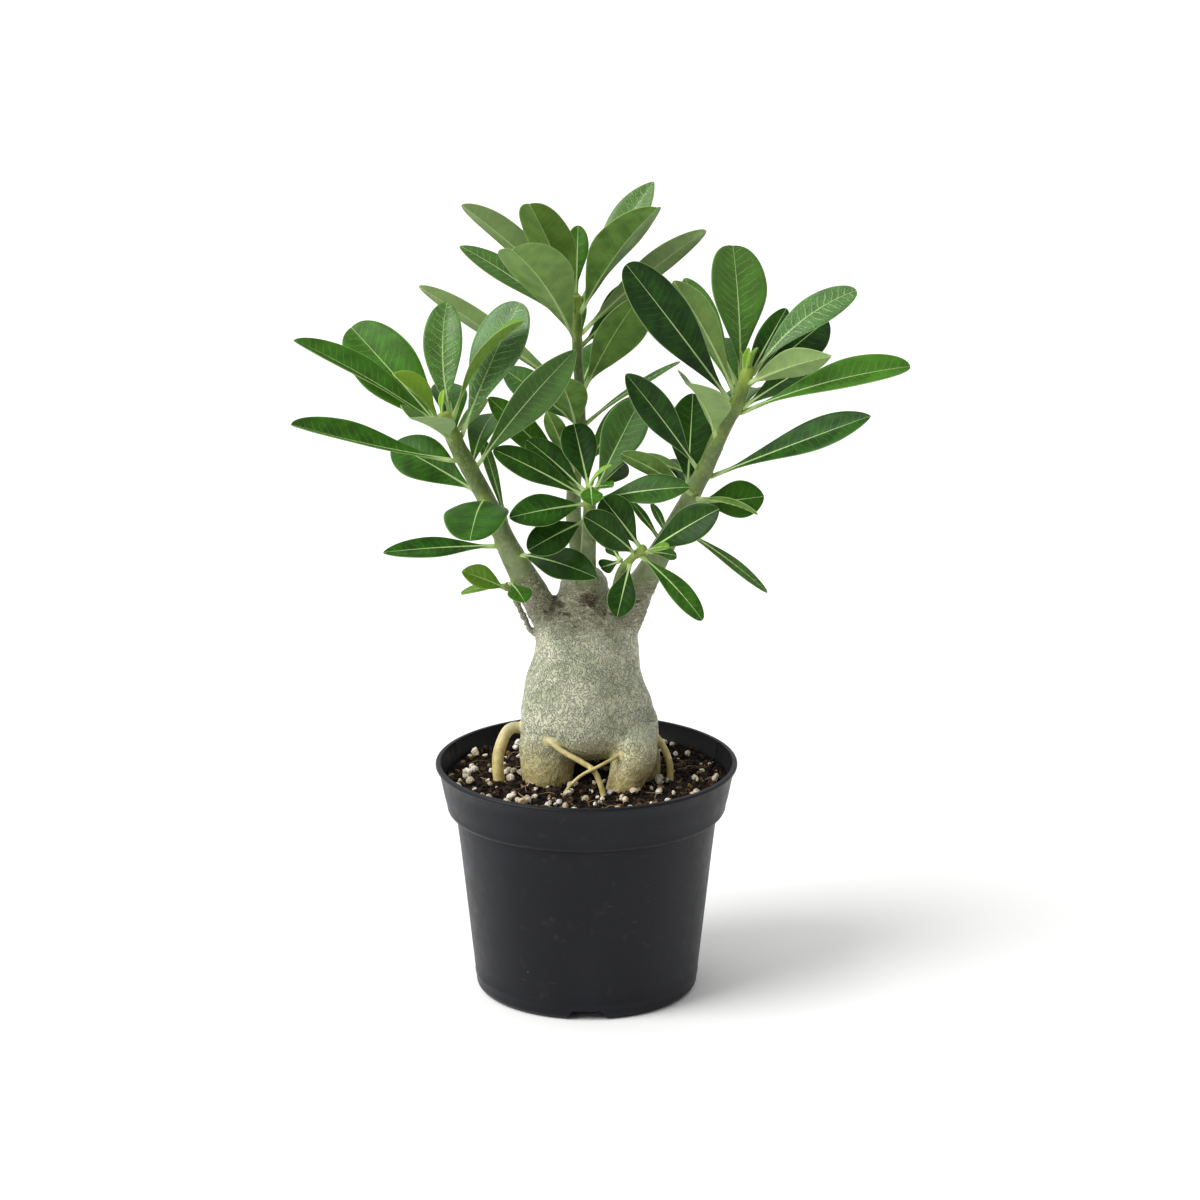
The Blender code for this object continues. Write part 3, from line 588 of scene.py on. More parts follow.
def leaf_skin(name, colours, roughness, specular, sunken):
    """Living leaf skin, waxy above and dull below, whose pale veins branch off a pale midrib."""
    made, tree, shader = new_material(name, roughness, 1.45, specular)
    blade_mm = put(tree, ATTRIBUTE, output="Vector", attribute_name="blade_mm")
    share = put(tree, SEPARATE, (put(tree, ATTRIBUTE, output="Vector", attribute_name="blade"),)).node.outputs
    ruler = put(tree, SEPARATE, (blade_mm,)).node.outputs
    tone = put(tree, ATTRIBUTE, output="Color", attribute_name="tone").node.outputs
    tone_and_light_parts = put(tree, "ShaderNodeSeparateColor", (tone["Color"],)).node.outputs
    off = put(tree, MATH, (ruler[0],), operation="ABSOLUTE")
    margin = put(tree, MATH, (share[0],), operation="ABSOLUTE")
    # lateral veins run from the midrib towards the tip and margin, one every few millimetres
    wobble = put(tree, NOISE, {"Vector": blade_mm, "Scale": 0.22, "Detail": 2.0})
    curve = put(tree, MATH, (off, 0.012, 0.55), operation="MULTIPLY_ADD")
    curve = put(tree, MATH, (curve, off), operation="MULTIPLY")
    run = put(tree, MATH, (ruler[1], curve), operation="SUBTRACT")
    run = put(tree, MATH, (wobble, 3.4, run), operation="MULTIPLY_ADD")
    right_half = put(tree, MATH, (ruler[0], 0.0), operation="GREATER_THAN")
    run = put(tree, MATH, (right_half, 0.5 * VEIN_SPACING, run), operation="MULTIPLY_ADD")
    away = put(tree, MATH, (run, 0.5 * VEIN_SPACING), operation="PINGPONG")
    line = put(tree, RANGE, (away, 0.1, 0.4, 1.0, 0.0), **EASED)
    fade = put(tree, RANGE, (margin, 0.4, 0.92, 1.0, 0.0), **EASED)
    start = put(tree, RANGE, (share[1], 0.06, 0.22), **EASED)
    fade = put(tree, MATH, (fade, start), operation="MULTIPLY")
    laterals = put(tree, MATH, (line, fade), operation="MULTIPLY")
    clear = put(tree, MATH, (laterals, tone["Alpha"]), operation="MULTIPLY")
    # the midrib narrows from the petiole to the tip
    rib_width = put(tree, RANGE, (share[1], 0.0, 1.0, 0.66, 0.12), **EASED)
    rib = put(tree, MATH, (off, rib_width), operation="DIVIDE")
    rib = put(tree, RANGE, (rib, 0.55, 1.1, 1.0, 0.0), **EASED)
    petiole = put(tree, RANGE, (share[1], 0.03, 0.15, 1.0, 0.0), **EASED)
    rib = put(tree, MATH, (rib, petiole), operation="MAXIMUM")
    # the finest veins make a net of about 1 mm cells
    net = put(tree, VORONOI, {"Vector": blade_mm, "Scale": 0.95}, feature="DISTANCE_TO_EDGE")
    net = put(tree, RANGE, (net, 0.0, 0.12, 1.0, 0.0), **EASED)
    fine = put(tree, MATH, (net, tone["Alpha"]), operation="MULTIPLY")
    blotch = put(tree, NOISE, {"Vector": blade_mm, "Scale": 0.13, "Detail": 4.0})
    grain = put(tree, NOISE, {"Vector": blade_mm, "Scale": 2.5, "Detail": 2.0})
    dark, mid, young, painted_sheen, vein, pale = colours
    patch = put(tree, RANGE, (blotch, 0.32, 0.68), **EASED)
    colour = put(tree, MIX, {0: patch, 6: dark, 7: mid}, **RGBA)
    colour = put(tree, MIX, {0: tone_and_light_parts[1], 6: colour, 7: young}, **RGBA)
    # painted sheen: the look's grey share turns the green towards a pale grey sheen colour
    colour = put(tree, MIX, {0: tone_and_light_parts[2], 6: colour, 7: painted_sheen}, **RGBA)
    light = put(tree, "ShaderNodeCombineColor", (tone_and_light_parts[0], tone_and_light_parts[0], tone_and_light_parts[0]))
    colour = put(tree, MIX, {0: 1.0, 6: colour, 7: light}, **RGBA, blend_type="MULTIPLY")
    for amount, strength in ((fine, 0.3), (clear, 0.75)):
        amount = put(tree, MATH, (amount, strength), operation="MULTIPLY")
        colour = put(tree, MIX, {0: amount, 6: colour, 7: vein}, **RGBA)
    edge = put(tree, RANGE, (margin, 0.962, 0.995, 0.0, 0.5), **EASED)
    colour = put(tree, MIX, {0: edge, 6: colour, 7: vein}, **RGBA)
    rib_share = put(tree, MATH, (rib, 0.88), operation="MULTIPLY")
    colour = put(tree, MIX, {0: rib_share, 6: colour, 7: pale}, **RGBA)
    rough = put(tree, RANGE, (grain, 0.2, 0.8, roughness - 0.06, roughness + 0.08))
    relief = put(tree, MATH, (clear, -sunken, 0.5), operation="MULTIPLY_ADD")
    relief = put(tree, MATH, (fine, -0.3 * sunken, relief), operation="MULTIPLY_ADD")
    relief = put(tree, MATH, (grain, 0.08, relief), operation="MULTIPLY_ADD")
    wire(tree, shader, colour, relief, 0.3, rough)
    return made


# ---------------------------------------------------------------- bark

def skin_over(name, shapes, voxel, smoothing):
    """One skin over overlapping closed shapes, softened where they join."""
    holder = add_object(name, mesh_of(name, shapes))
    remesh = holder.modifiers.new("skin", "REMESH")
    remesh.mode = "VOXEL"
    remesh.voxel_size = voxel * MM
    soften = holder.modifiers.new("soften", "SMOOTH")
    soften.iterations = smoothing
    mesh = evaluated_mesh(holder)
    discard(holder)
    return mesh


def values_of(items, field, width):
    """One field of a mesh's items as an array."""
    values = np.empty(len(items) * width, dtype=np.int32 if field == "vertices" else np.float64)
    items.foreach_get(field, values)
    return values.reshape(-1, width)


def body_shape():
    """The swollen body as smooth oval sections."""
    sections = smooth_path(BODY, 5)
    angles = np.linspace(0, math.tau, 96, endpoint=False)
    rings = [np.stack([x + w * np.cos(angles), y + d * np.sin(angles), np.full(96, z)], axis=-1)
             for z, x, y, w, d in sections]
    return loft_shape(np.array(rings))


def rooted_foot(path):
    """The foot of a stem, carried on down into the body so that it grows out of it."""
    x, y, z, radius = path[0]
    deep = (0.35 * x, 0.35 * y + 0.65 * BODY_AXIS_Y, z - 26, 0.8 * radius)
    half_way = (0.75 * x, 0.75 * y + 0.25 * BODY_AXIS_Y, z - 11, 1.05 * radius)
    return smooth_path([deep, half_way, *path[:max(3, int(len(path) * STEM_FOOT)):3]], 4)


def hidden_start(path):
    """A stem from just inside the crown, its first rows slimmer so that its end stays hidden."""
    inner = path[HIDDEN_ROWS:].copy()
    inner[:, 3] *= np.clip(0.62 + 0.07 * np.arange(len(inner)), 0, 1)
    return inner


def near_path(points, path):
    """Each point's distance from a path, its share of the way along, and the path's radius there."""
    best = np.full(len(points), 1e9)
    share = np.zeros(len(points))
    radius = np.ones(len(points))
    steps = np.linalg.norm(np.diff(path[:, :3], axis=0), axis=1)
    along = np.concatenate([[0], np.cumsum(steps)])
    for k in range(len(path) - 1):
        start, end = path[k, :3], path[k + 1, :3]
        line = end - start
        t = np.clip((points - start) @ line / (line @ line), 0, 1)
        away = np.linalg.norm(points - start - t[:, None] * line, axis=1)
        closer = away < best
        best[closer] = away[closer]
        share[closer] = ((along[k] + t * steps[k]) / along[-1])[closer]
        radius[closer] = (path[k, 3] + t * (path[k + 1, 3] - path[k, 3]))[closer]
    return best, share, radius


def bumps_at(points, centres, radius, height):
    """The sum of small round bumps at some centres."""
    total = np.zeros(len(points))
    for centre in centres:
        near = np.sum((points - centre) ** 2, axis=1)
        total += height * np.exp(-near / radius ** 2)
    return total


def hollow_depth(points, normals, edges, rounds):
    """How deep each point lies in a hollow of the skin, in millimetres."""
    count = np.bincount(edges.ravel(), minlength=len(points))
    smooth = points.copy()
    for _ in range(rounds):
        for axis in range(3):
            total = np.bincount(edges[:, 0], smooth[edges[:, 1], axis], len(points))
            total += np.bincount(edges[:, 1], smooth[edges[:, 0], axis], len(points))
            smooth[:, axis] = total / count
    return np.sum((smooth - points) * normals, axis=1)


def leaf_scars(stems):
    """Places of the scars that old leaves left, in a spiral up each stem."""
    dice = random.Random(5)
    scars = []
    for name in ("stem_left", "stem_middle", "stem_right"):
        path = stems[name]
        turn = dice.uniform(0, math.tau)
        rows = int(np.linalg.norm(np.diff(path[:, :3], axis=0), axis=1).sum() / 5)
        for k in range(rows):
            place = int((0.14 + 0.8 * k / rows) * (len(path) - 1))
            turn += 2.4 + dice.uniform(-0.3, 0.3)
            ahead = path[place + 1, :3] - path[place, :3]
            out = unit(np.cross(ahead, (math.cos(turn), math.sin(turn), 0.2)))
            scars.append(path[place, :3] + out * path[place, 3])
    return np.array(scars)


def collar_welts():
    """Places of the short level welts around the crown, and of the seam under each."""
    dice = random.Random(8)
    places = []
    for k in range(WELTS):
        angle = math.tau * (k + dice.uniform(-0.4, 0.4)) / WELTS
        rise = dice.uniform(-3, 7)
        reach = WELT_REACH - 0.55 * rise
        x, y = reach * math.cos(angle), BODY_AXIS_Y + WELT_DEPTH * reach * math.sin(angle)
        places.append((x, y, COLLAR_Z + rise))
    return np.array(places)


def make_bark(seats):
    """The trunk, its legs and roots, and the stems that grow from it, in one continuous skin."""
    stems = {name: smooth_path(rows, 10) for name, rows in STEMS.items()}
    roots = [smooth_path(root, 6) for root in ROOTS]
    feet = [tube_shape(rooted_foot(path)) for path in stems.values()]
    legs = [tube_shape(smooth_path(leg, 8), 32) for leg in LEGS]
    core = skin_over("trunk_core", [body_shape(), *legs, *feet], CORE_VOXEL, 9)
    core_shape = values_of(core.vertices, "co", 3) / MM, [tuple(face.vertices) for face in core.polygons]
    tubes = [tube_shape(hidden_start(path), 20) for path in stems.values()]
    tubes += [tube_shape(root, 14) for root in roots]
    mesh = skin_over("bark", [core_shape, *tubes], SKIN_VOXEL, 3)
    points = values_of(mesh.vertices, "co", 3) / MM
    normals = values_of(mesh.vertices, "normal", 3)
    hollow = hollow_depth(points, normals, values_of(mesh.edges, "vertices", 2), HOLLOW_ROUNDS)

    green = np.zeros(len(points))
    on_stem = np.zeros(len(points))
    risen = np.clip((points[:, 2] - STEM_GREEN_Z) / 14, 0, 1)
    for path in stems.values():
        away, share, radius = near_path(points, path)
        inside = np.clip(3.2 - 2 * away / (radius + 0.8), 0, 1) * risen
        on_stem = np.maximum(on_stem, inside)
        green = np.maximum(green, inside * (0.3 + 0.7 * share))
    on_root = np.zeros(len(points))
    for root in roots:
        away, _, radius = near_path(points, root)
        on_root = np.maximum(on_root, np.clip(2.2 - away / radius, 0, 1))

    scars = leaf_scars(stems)
    torn = np.zeros(len(points))
    for x, y, z, radius in CROWN_SCARS:
        torn = np.maximum(torn, bumps_at(points, [(x, y, z)], radius, 1.0))
    seat_mark = np.clip(bumps_at(points, seats, 3.2, 1.0), 0, 1)
    scar_mark = np.clip(bumps_at(points, scars, 1.0, 1.0), 0, 1)

    lumps = np.array([noise.noise(Vector(p) / 13) for p in points])
    warps = np.array([noise.noise_vector(Vector(p) / 5) for p in points])
    pairs = list(zip(points, warps))
    folds = np.array([noise.noise(Vector(p * (0.42, 0.42, 0.36) + 0.9 * w)) for p, w in pairs])
    knots = np.array([noise.noise(Vector(p * (0.3, 0.3, 0.55) + 0.5 * w)) for p, w in pairs])
    collar = np.exp(-((points[:, 2] - COLLAR_Z - 4 * lumps) / 5) ** 2)
    level_scale = np.array((1, 1, LEVEL_STRETCH))
    welts = collar_welts() * level_scale
    welt = np.clip(bumps_at(points * level_scale, welts, 2.7, 1.0), 0, 1)
    seam = np.clip(bumps_at(points * level_scale, welts - (0, 0, 2.9), 2.1, 1.0), 0, 1)
    crown = np.clip((points[:, 2] - (CROWN_LOW - 1)) / 8, 0, 1)
    crown *= np.clip((CROWN_HIGH - 2 - points[:, 2]) / 10, 0, 1)
    ridged = 1 - 3 * np.abs(folds)
    broken = 1 - 4 * np.abs(knots)
    bare = (1 - on_stem) * np.clip(1 - on_root, 0, 1)
    rise = 0.7 * lumps * bare + 0.2 * lumps * on_stem
    rise += ridged * (0.17 * bare + 0.04)
    rise += broken * (0.22 * collar + 0.3 * crown * (1 - 0.6 * on_stem))
    rise += 1.2 * welt - 0.7 * seam + knots * torn * 2.6 - 0.4 * torn
    rise += bumps_at(points, scars, 1.9, 0.36) - bumps_at(points, scars, 0.8, 0.36)
    rise += bumps_at(points, seats, 2.3, 0.7)
    points = points + normals * rise[:, None]
    mesh.vertices.foreach_set("co", (points * MM).ravel())

    low = np.clip((LEG_TAN_Z - points[:, 2]) / 22, 0, 1) ** 0.8
    tan = np.clip(low * 0.9 + on_root * 0.5, 0, 1)
    # painted shade: darker brown where the skin lies in a hollow of the crown, along the seams under the
    # welts and in the clefts where the stems part
    cleft_shade = np.clip((hollow - 0.16) / 0.5, 0, 1) * np.clip((points[:, 2] - CROWN_LOW) / 8, 0, 1)
    cleft_shade = np.maximum(cleft_shade, 0.6 * seam * np.clip(0.45 + 2.5 * knots, 0, 1))
    for x, y, z, radius in CROWN_CLEFT_SHADES:
        parting = bumps_at(points * level_scale, [(x, y, LEVEL_STRETCH * z)], 1.5 * radius, 1.0)
        cleft_shade = np.maximum(cleft_shade, np.clip(3.0 * parting * (1 + 1.5 * folds) - 0.8, 0, 1))
    crusted = np.clip((points[:, 2] - CROWN_LOW - 5 * lumps) / 6, 0, 1)
    crusted *= np.clip((CROWN_HIGH - points[:, 2] + 10 * lumps) / 12, 0, 1)
    set_colour_attribute(mesh, "skin", np.stack([green, tan, scar_mark, seat_mark], axis=-1))
    wrinkle_zone = bare * (1 - 0.75 * low)
    set_colour_attribute(mesh, "marks", np.stack([cleft_shade, np.clip(torn, 0, 1), wrinkle_zone, crusted], axis=-1))
    mesh.materials.clear()
    mesh.materials.append(bark_material())
    finish_piece(add_object("bark", mesh), "pale_bark", "caudex", *STEMS)


def bark_material():
    """Smooth succulent bark: pale, silky and finely wrinkled on the trunk, greener up the stems."""
    made, tree, shader = new_material("adenium_bark", 0.45, 1.45, 0.5)
    place = put(tree, "ShaderNodeTexCoord", output="Object")
    skin = put(tree, ATTRIBUTE, output="Color", attribute_name="skin").node.outputs
    parts = put(tree, "ShaderNodeSeparateColor", (skin["Color"],)).node.outputs
    signs = put(tree, ATTRIBUTE, output="Color", attribute_name="marks").node.outputs
    marks = put(tree, "ShaderNodeSeparateColor", (signs["Color"],)).node.outputs
    cloud = put(tree, NOISE, {"Vector": place, "Scale": 1 / (15 * MM), "Detail": 4.0})
    mottle = put(tree, NOISE, {"Vector": place, "Scale": 1 / (3.4 * MM), "Detail": 4.0})
    # wrinkles: winding ridges about 1 mm wide and 3 mm long, raised by the bump and lightened along their
    # crests as a painted highlight
    squash = put(tree, "ShaderNodeMapping", {"Vector": place, "Scale": (1.0, 1.0, 0.72)})
    worm = put(tree, NOISE, {"Vector": squash, "Scale": 1 / (2.3 * MM), "Detail": 1.5, "Distortion": 1.4})
    ridge = put(tree, MATH, (worm, 0.5), operation="SUBTRACT")
    ridge = put(tree, MATH, (ridge,), operation="ABSOLUTE")
    ridge = put(tree, RANGE, (ridge, 0.0, 0.075, 1.0, 0.0), **EASED)
    pores = put(tree, VORONOI, {"Vector": place, "Scale": 1 / (3.2 * MM)})
    dots = put(tree, RANGE, (pores, 0.04, 0.13, 1.0, 0.0), **EASED)
    patch = put(tree, RANGE, (cloud, 0.35, 0.65), **EASED)
    colour = put(tree, MIX, {0: patch, 6: "#A2A889", 7: "#C5C5A9"}, **RGBA)
    patch = put(tree, RANGE, (mottle, 0.38, 0.72, 0.0, 0.3), **EASED)
    colour = put(tree, MIX, {0: patch, 6: colour, 7: "#8B9176"}, **RGBA)
    patch = put(tree, RANGE, (mottle, 0.4, 0.65), **EASED)
    tan = put(tree, MIX, {0: patch, 6: "#CBBB7C", 7: "#B5A264"}, **RGBA)
    colour = put(tree, MIX, {0: parts[1], 6: colour, 7: tan}, **RGBA)
    patch = put(tree, RANGE, (cloud, 0.4, 0.62), **EASED)
    stem = put(tree, MIX, {0: patch, 6: "#5F6F40", 7: "#768359"}, **RGBA)
    fresh = put(tree, RANGE, (parts[0], 0.5, 0.95), **EASED)
    stem = put(tree, MIX, {0: fresh, 6: stem, 7: "#506626"}, **RGBA)
    fleck = put(tree, RANGE, (worm, 0.52, 0.64, 0.0, 0.22), **EASED)
    stem = put(tree, MIX, {0: fleck, 6: stem, 7: "#9AA27C"}, **RGBA)
    ends = put(tree, RANGE, (parts[0], 0.93, 1.0, 0.0, 0.8), **EASED)
    stem = put(tree, MIX, {0: ends, 6: stem, 7: "#879E34"}, **RGBA)
    fresh = put(tree, RANGE, (parts[0], 0.0, 0.5), **EASED)
    colour = put(tree, MIX, {0: fresh, 6: colour, 7: stem}, **RGBA)
    wrinkle_relief_and_highlight = put(tree, MATH, (ridge, marks[2]), operation="MULTIPLY")
    # the crown is crusted with coarser level folds, paler along their crests as a painted highlight and dark
    # brown in the hollows between them as painted shade
    squash = put(tree, "ShaderNodeMapping", {"Vector": place, "Scale": (0.8, 0.8, 1.5)})
    crust = put(tree, NOISE, {"Vector": squash, "Scale": 1 / (2.7 * MM), "Detail": 3.0, "Distortion": 1.8})
    crust_top_highlight = put(tree, RANGE, (crust, 0.53, 0.6), **EASED)
    crust_top_highlight = put(tree, MATH, (crust_top_highlight, signs["Alpha"]), operation="MULTIPLY")
    crust_gap_shade = put(tree, RANGE, (crust, 0.44, 0.38), **EASED)
    crust_gap_shade = put(tree, MATH, (crust_gap_shade, signs["Alpha"]), operation="MULTIPLY")
    # the pale tint on the wrinkle ridges is a painted highlight
    tints = ((signs["Alpha"], 0.22, "#AE9E72"), (crust_top_highlight, 0.6, "#E0DCC0"), (crust_gap_shade, 0.42, "#6B5839"),
             (wrinkle_relief_and_highlight, 0.32, "#EEECDB"), (dots, 0.45, "#5E5438"), (parts[2], 0.45, "#5B5836"),
             # the last tint is painted shade in hollows, seams and clefts
             (skin["Alpha"], 0.6, "#8DA33F"), (marks[0], 0.8, "#3F3223"))
    for amount, strength, tint in tints:
        amount = put(tree, MATH, (amount, strength), operation="MULTIPLY")
        colour = put(tree, MIX, {0: amount, 6: colour, 7: tint}, **RGBA)
    # torn scars are grey brown with darker cracks
    scar = put(tree, RANGE, (worm, 0.42, 0.58), **EASED)
    scar = put(tree, MIX, {0: scar, 6: "#33241A", 7: "#8C7354"}, **RGBA)
    torn = put(tree, MATH, (mottle, 1.6, marks[1]), operation="MULTIPLY_ADD")
    torn = put(tree, RANGE, (torn, 1.25, 1.75, 0.0, 0.85), **EASED)
    colour = put(tree, MIX, {0: torn, 6: colour, 7: scar}, **RGBA)
    rough = put(tree, RANGE, (mottle, 0.3, 0.7, 0.36, 0.55))
    relief = put(tree, MATH, (wrinkle_relief_and_highlight, 0.8), operation="MULTIPLY")
    relief = put(tree, MATH, (mottle, 0.3, relief), operation="MULTIPLY_ADD")
    crusted = put(tree, MATH, (crust, signs["Alpha"]), operation="MULTIPLY")
    relief = put(tree, MATH, (crusted, 3.5, relief), operation="MULTIPLY_ADD")
    wire(tree, shader, colour, relief, 1.4, rough)
    return made


# ---------------------------------------------------------------- nursery pot

def arc(centre_x, centre_z, radius, start, end, count):
    """Points along an arc, angles in degrees."""
    angles = np.radians(np.linspace(start, end, count))
    return [(centre_x + radius * math.cos(a), centre_z + radius * math.sin(a)) for a in angles]


def turned(name, profile, steps):
    """A closed mesh turned from a profile that runs from the axis round to the axis again."""
    angles = np.linspace(0, math.tau, steps, endpoint=False)
    middle = profile[1:-1]
    rings = np.array([[(r * math.cos(a), r * math.sin(a), z) for a in angles] for r, z in middle])
    points = np.concatenate([rings.reshape(-1, 3), [(0, 0, profile[0][1])], [(0, 0, profile[-1][1])]])
    count = len(middle)
    faces = ring_faces(count, steps)
    first, last = len(points) - 2, len(points) - 1
    for k in range(steps):
        n = (k + 1) % steps
        faces.append((first, k, n))
        faces.append((last, (count - 1) * steps + n, (count - 1) * steps + k))
    return mesh_of(name, [(points, faces)])


def wall_radius(z):
    """Outer radius of the tapered wall below the band."""
    share = (z - BASE_ROUND) / (BAND_LOW_Z - BASE_ROUND)
    return BASE_RADIUS + (WALL_TOP_RADIUS - BASE_RADIUS) * share


def pot_outer(lip_radius, height):
    """The pot's outside, from the top on the axis down to the bottom on the axis."""
    return [
        (0, height),
        *arc(lip_radius - LIP_BEAD, height - LIP_BEAD, LIP_BEAD, 90, -70, 9),
        (BAND_TOP_RADIUS, height - 3.0),
        (BAND_TOP_RADIUS - 1.3, height - 9),
        (BAND_LOW_RADIUS + 1.2, BAND_LOW_Z + 8),
        *arc(BAND_LOW_RADIUS - BAND_ROUND, BAND_LOW_Z + BAND_ROUND, BAND_ROUND, 12, -80, 8),
        (WALL_TOP_RADIUS + 0.9, BAND_LOW_Z - 0.3),
        (WALL_TOP_RADIUS + 0.1, BAND_LOW_Z - 1.0),
        (WALL_TOP_RADIUS, BAND_LOW_Z - 2.0),
        *[(wall_radius(z), z) for z in (70, 50, 30, 15, 9.2)],
        (wall_radius(8.7) + 0.18, 8.8),
        (wall_radius(8.2) + 0.18, 8.0),
        (wall_radius(6), 6),
        *arc(BASE_RADIUS - BASE_ROUND, BASE_ROUND, BASE_ROUND, 6, -90, 8),
        (0, 0),
    ]


def pot_inner(top):
    """The inside of the pot's wall from a height down to the floor."""
    turn = BASE_ROUND - WALL
    band_low = (BAND_LOW_RADIUS - WALL, BAND_LOW_Z + BAND_ROUND + 1.2)
    slope = (BAND_TOP_RADIUS - BAND_LOW_RADIUS) / (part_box("pot")[1].z / MM - 3.2 - BAND_LOW_Z - BAND_ROUND)
    band_top = (band_low[0] + slope * (top - band_low[1]), top)
    floor_round = arc(wall_radius(FLOOR + turn) - WALL - turn, FLOOR + turn, turn, 6, -90, 6)
    wall_top = (WALL_TOP_RADIUS - WALL, BAND_LOW_Z + 0.2)
    return [(0, top), band_top, band_low, wall_top, *floor_round, (0, FLOOR)]


def channel_shape(extra, radius):
    """The trapezoid bar of one drainage channel pointing to the front, grown by an extra."""
    start = CHANNEL_START - extra
    low, high = -1.0, CHANNEL_HEIGHT + extra
    slope = (CHANNEL_FOOT - CHANNEL_ROOF) / CHANNEL_HEIGHT
    rings = []
    for y in (-start, -radius):
        foot, roof = 0.5 * (CHANNEL_FOOT + 2 * extra - slope * low), 0.5 * (CHANNEL_ROOF + 2 * extra)
        rings.append([(-foot, y, low), (foot, y, low), (roof, y, high), (-roof, y, high)])
    return loft_shape(np.array(rings, float))


def cut(obj, name, shape_mesh, count):
    """Cut copies of a shape, set evenly around the axis, out of an object; give the cutters."""
    cutters = []
    for k in range(count):
        cutter = add_object(f"{name}_{k}", shape_mesh)
        cutter.rotation_euler.z = math.tau * k / count
        modifier = obj.modifiers.new(cutter.name, "BOOLEAN")
        modifier.operation = "DIFFERENCE"
        modifier.object = cutter
        cutters.append(cutter)
    return cutters


def make_pot():
    """A thin moulded pot with a beaded lip, a stepped band and drainage channels under its base."""
    low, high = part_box("pot")
    height, lip_radius = high.z / MM, (high.x - low.x) / 2 / MM
    pot = add_object("nursery_pot", turned("nursery_pot", pot_outer(lip_radius, height), POT_STEPS))
    cutters = cut(pot, "cavity", turned("cavity", pot_inner(height + 2), POT_STEPS), 1)
    cutters += cut(cutters[0], "roof", mesh_of("roof", [channel_shape(WALL, lip_radius)]), CHANNELS)
    cutters += cut(pot, "channel", mesh_of("channel", [channel_shape(0, lip_radius)]), CHANNELS)
    drain = tube_shape(np.array([(0, -DRAIN_AT, -2, DRAIN_RADIUS), (0, -DRAIN_AT, 18, DRAIN_RADIUS)]), 32)
    cutters += cut(pot, "drain", mesh_of("drain", [drain]), CHANNELS)
    rounded = pot.modifiers.new("soften_edges", "BEVEL")
    rounded.width = 0.25 * MM
    rounded.segments = 2
    rounded.limit_method = "ANGLE"
    rounded.angle_limit = math.radians(40)
    bpy.context.view_layer.update()
    mesh = evaluated_mesh(pot)
    pot.modifiers.clear()
    pot.data = mesh
    mesh.materials.clear()
    mesh.materials.append(pot_material())
    finish_piece(pot, "black_plastic", "pot")
    mesh.set_sharp_from_angle(angle=math.radians(50))
    for cutter in cutters:
        discard(cutter)


def pot_material():
    """Injection moulded polypropylene: near black, satin, with faint flow marks, dust and scuffs."""
    made, tree, shader = new_material("moulded_polypropylene", 0.4, 1.49, 0.21)
    place = put(tree, "ShaderNodeTexCoord", output="Object")
    drawn = put(tree, "ShaderNodeMapping", {"Vector": place, "Scale": (1.0, 1.0, 0.35)})
    flow = put(tree, NOISE, {"Vector": drawn, "Scale": 1 / (30 * MM), "Detail": 3.0, "Distortion": 0.6})
    grain = put(tree, NOISE, {"Vector": place, "Scale": 1 / (0.6 * MM), "Detail": 2.0})
    around = put(tree, "ShaderNodeMapping", {"Vector": place, "Scale": (0.3, 0.3, 3.0)})
    scuff = put(tree, NOISE, {"Vector": around, "Scale": 1 / (2.6 * MM), "Detail": 3.0, "Distortion": 0.3})
    scuff = put(tree, RANGE, (scuff, 0.70, 0.78, 0.0, 0.16), **EASED)
    dust = put(tree, NOISE, {"Vector": place, "Scale": 1 / (7 * MM), "Detail": 5.0})
    speck = put(tree, VORONOI, {"Vector": place, "Scale": 1 / (16 * MM)})
    speck = put(tree, RANGE, (speck, 0.01, 0.03, 0.25, 0.0), **EASED)
    patch = put(tree, RANGE, (flow, 0.3, 0.7), **EASED)
    colour = put(tree, MIX, {0: patch, 6: "#0D0E13", 7: "#13141A"}, **RGBA)
    film = put(tree, RANGE, (dust, 0.58, 0.85, 0.0, 0.06), **EASED)
    for amount, tint in ((film, "#8A8378"), (scuff, "#6E6E72"), (speck, "#A9A294")):
        colour = put(tree, MIX, {0: amount, 6: colour, 7: tint}, **RGBA)
    rough = put(tree, RANGE, (dust, 0.3, 0.8, 0.38, 0.5))
    relief = put(tree, MATH, (grain, 0.12), operation="MULTIPLY")
    relief = put(tree, MATH, (flow, 0.5, relief), operation="MULTIPLY_ADD")
    wire(tree, shader, colour, relief, 0.22, rough)
    return made


# ---------------------------------------------------------------- growing mix

def mix_height(x, y):
    """Height of the growing mix above its mean level."""
    spot = Vector((x, y, 0))
    return (1.5 * noise.noise(spot / 17) + 0.9 * noise.noise(spot / 6.5 + Vector((0, 0, 4)))
            + 0.45 * noise.noise(spot / 2.4 + Vector((0, 0, 9))))


def make_mix(level, edge):
    """The surface of the growing mix, crumbly and slightly uneven, down to the pot's floor."""
    sides = 220
    angles = np.linspace(0, math.tau, sides, endpoint=False)
    rings = []
    for radius in np.linspace(1.4, edge, 50):
        fall = min(1.0, (edge - radius) / 3)
        spots = [(radius * math.cos(a), radius * math.sin(a)) for a in angles]
        rings.append([(x, y, level + fall * mix_height(x, y)) for x, y in spots])
    for radius, z in MIX_SIDES:
        rings.append([(radius * math.cos(a), radius * math.sin(a), z) for a in angles])
    mesh = mesh_of("growing_mix", [loft_shape(np.array(rings))])
    mesh.materials.append(peat_material())
    finish_piece(add_object("growing_mix", mesh), "growing_mix", "soil")


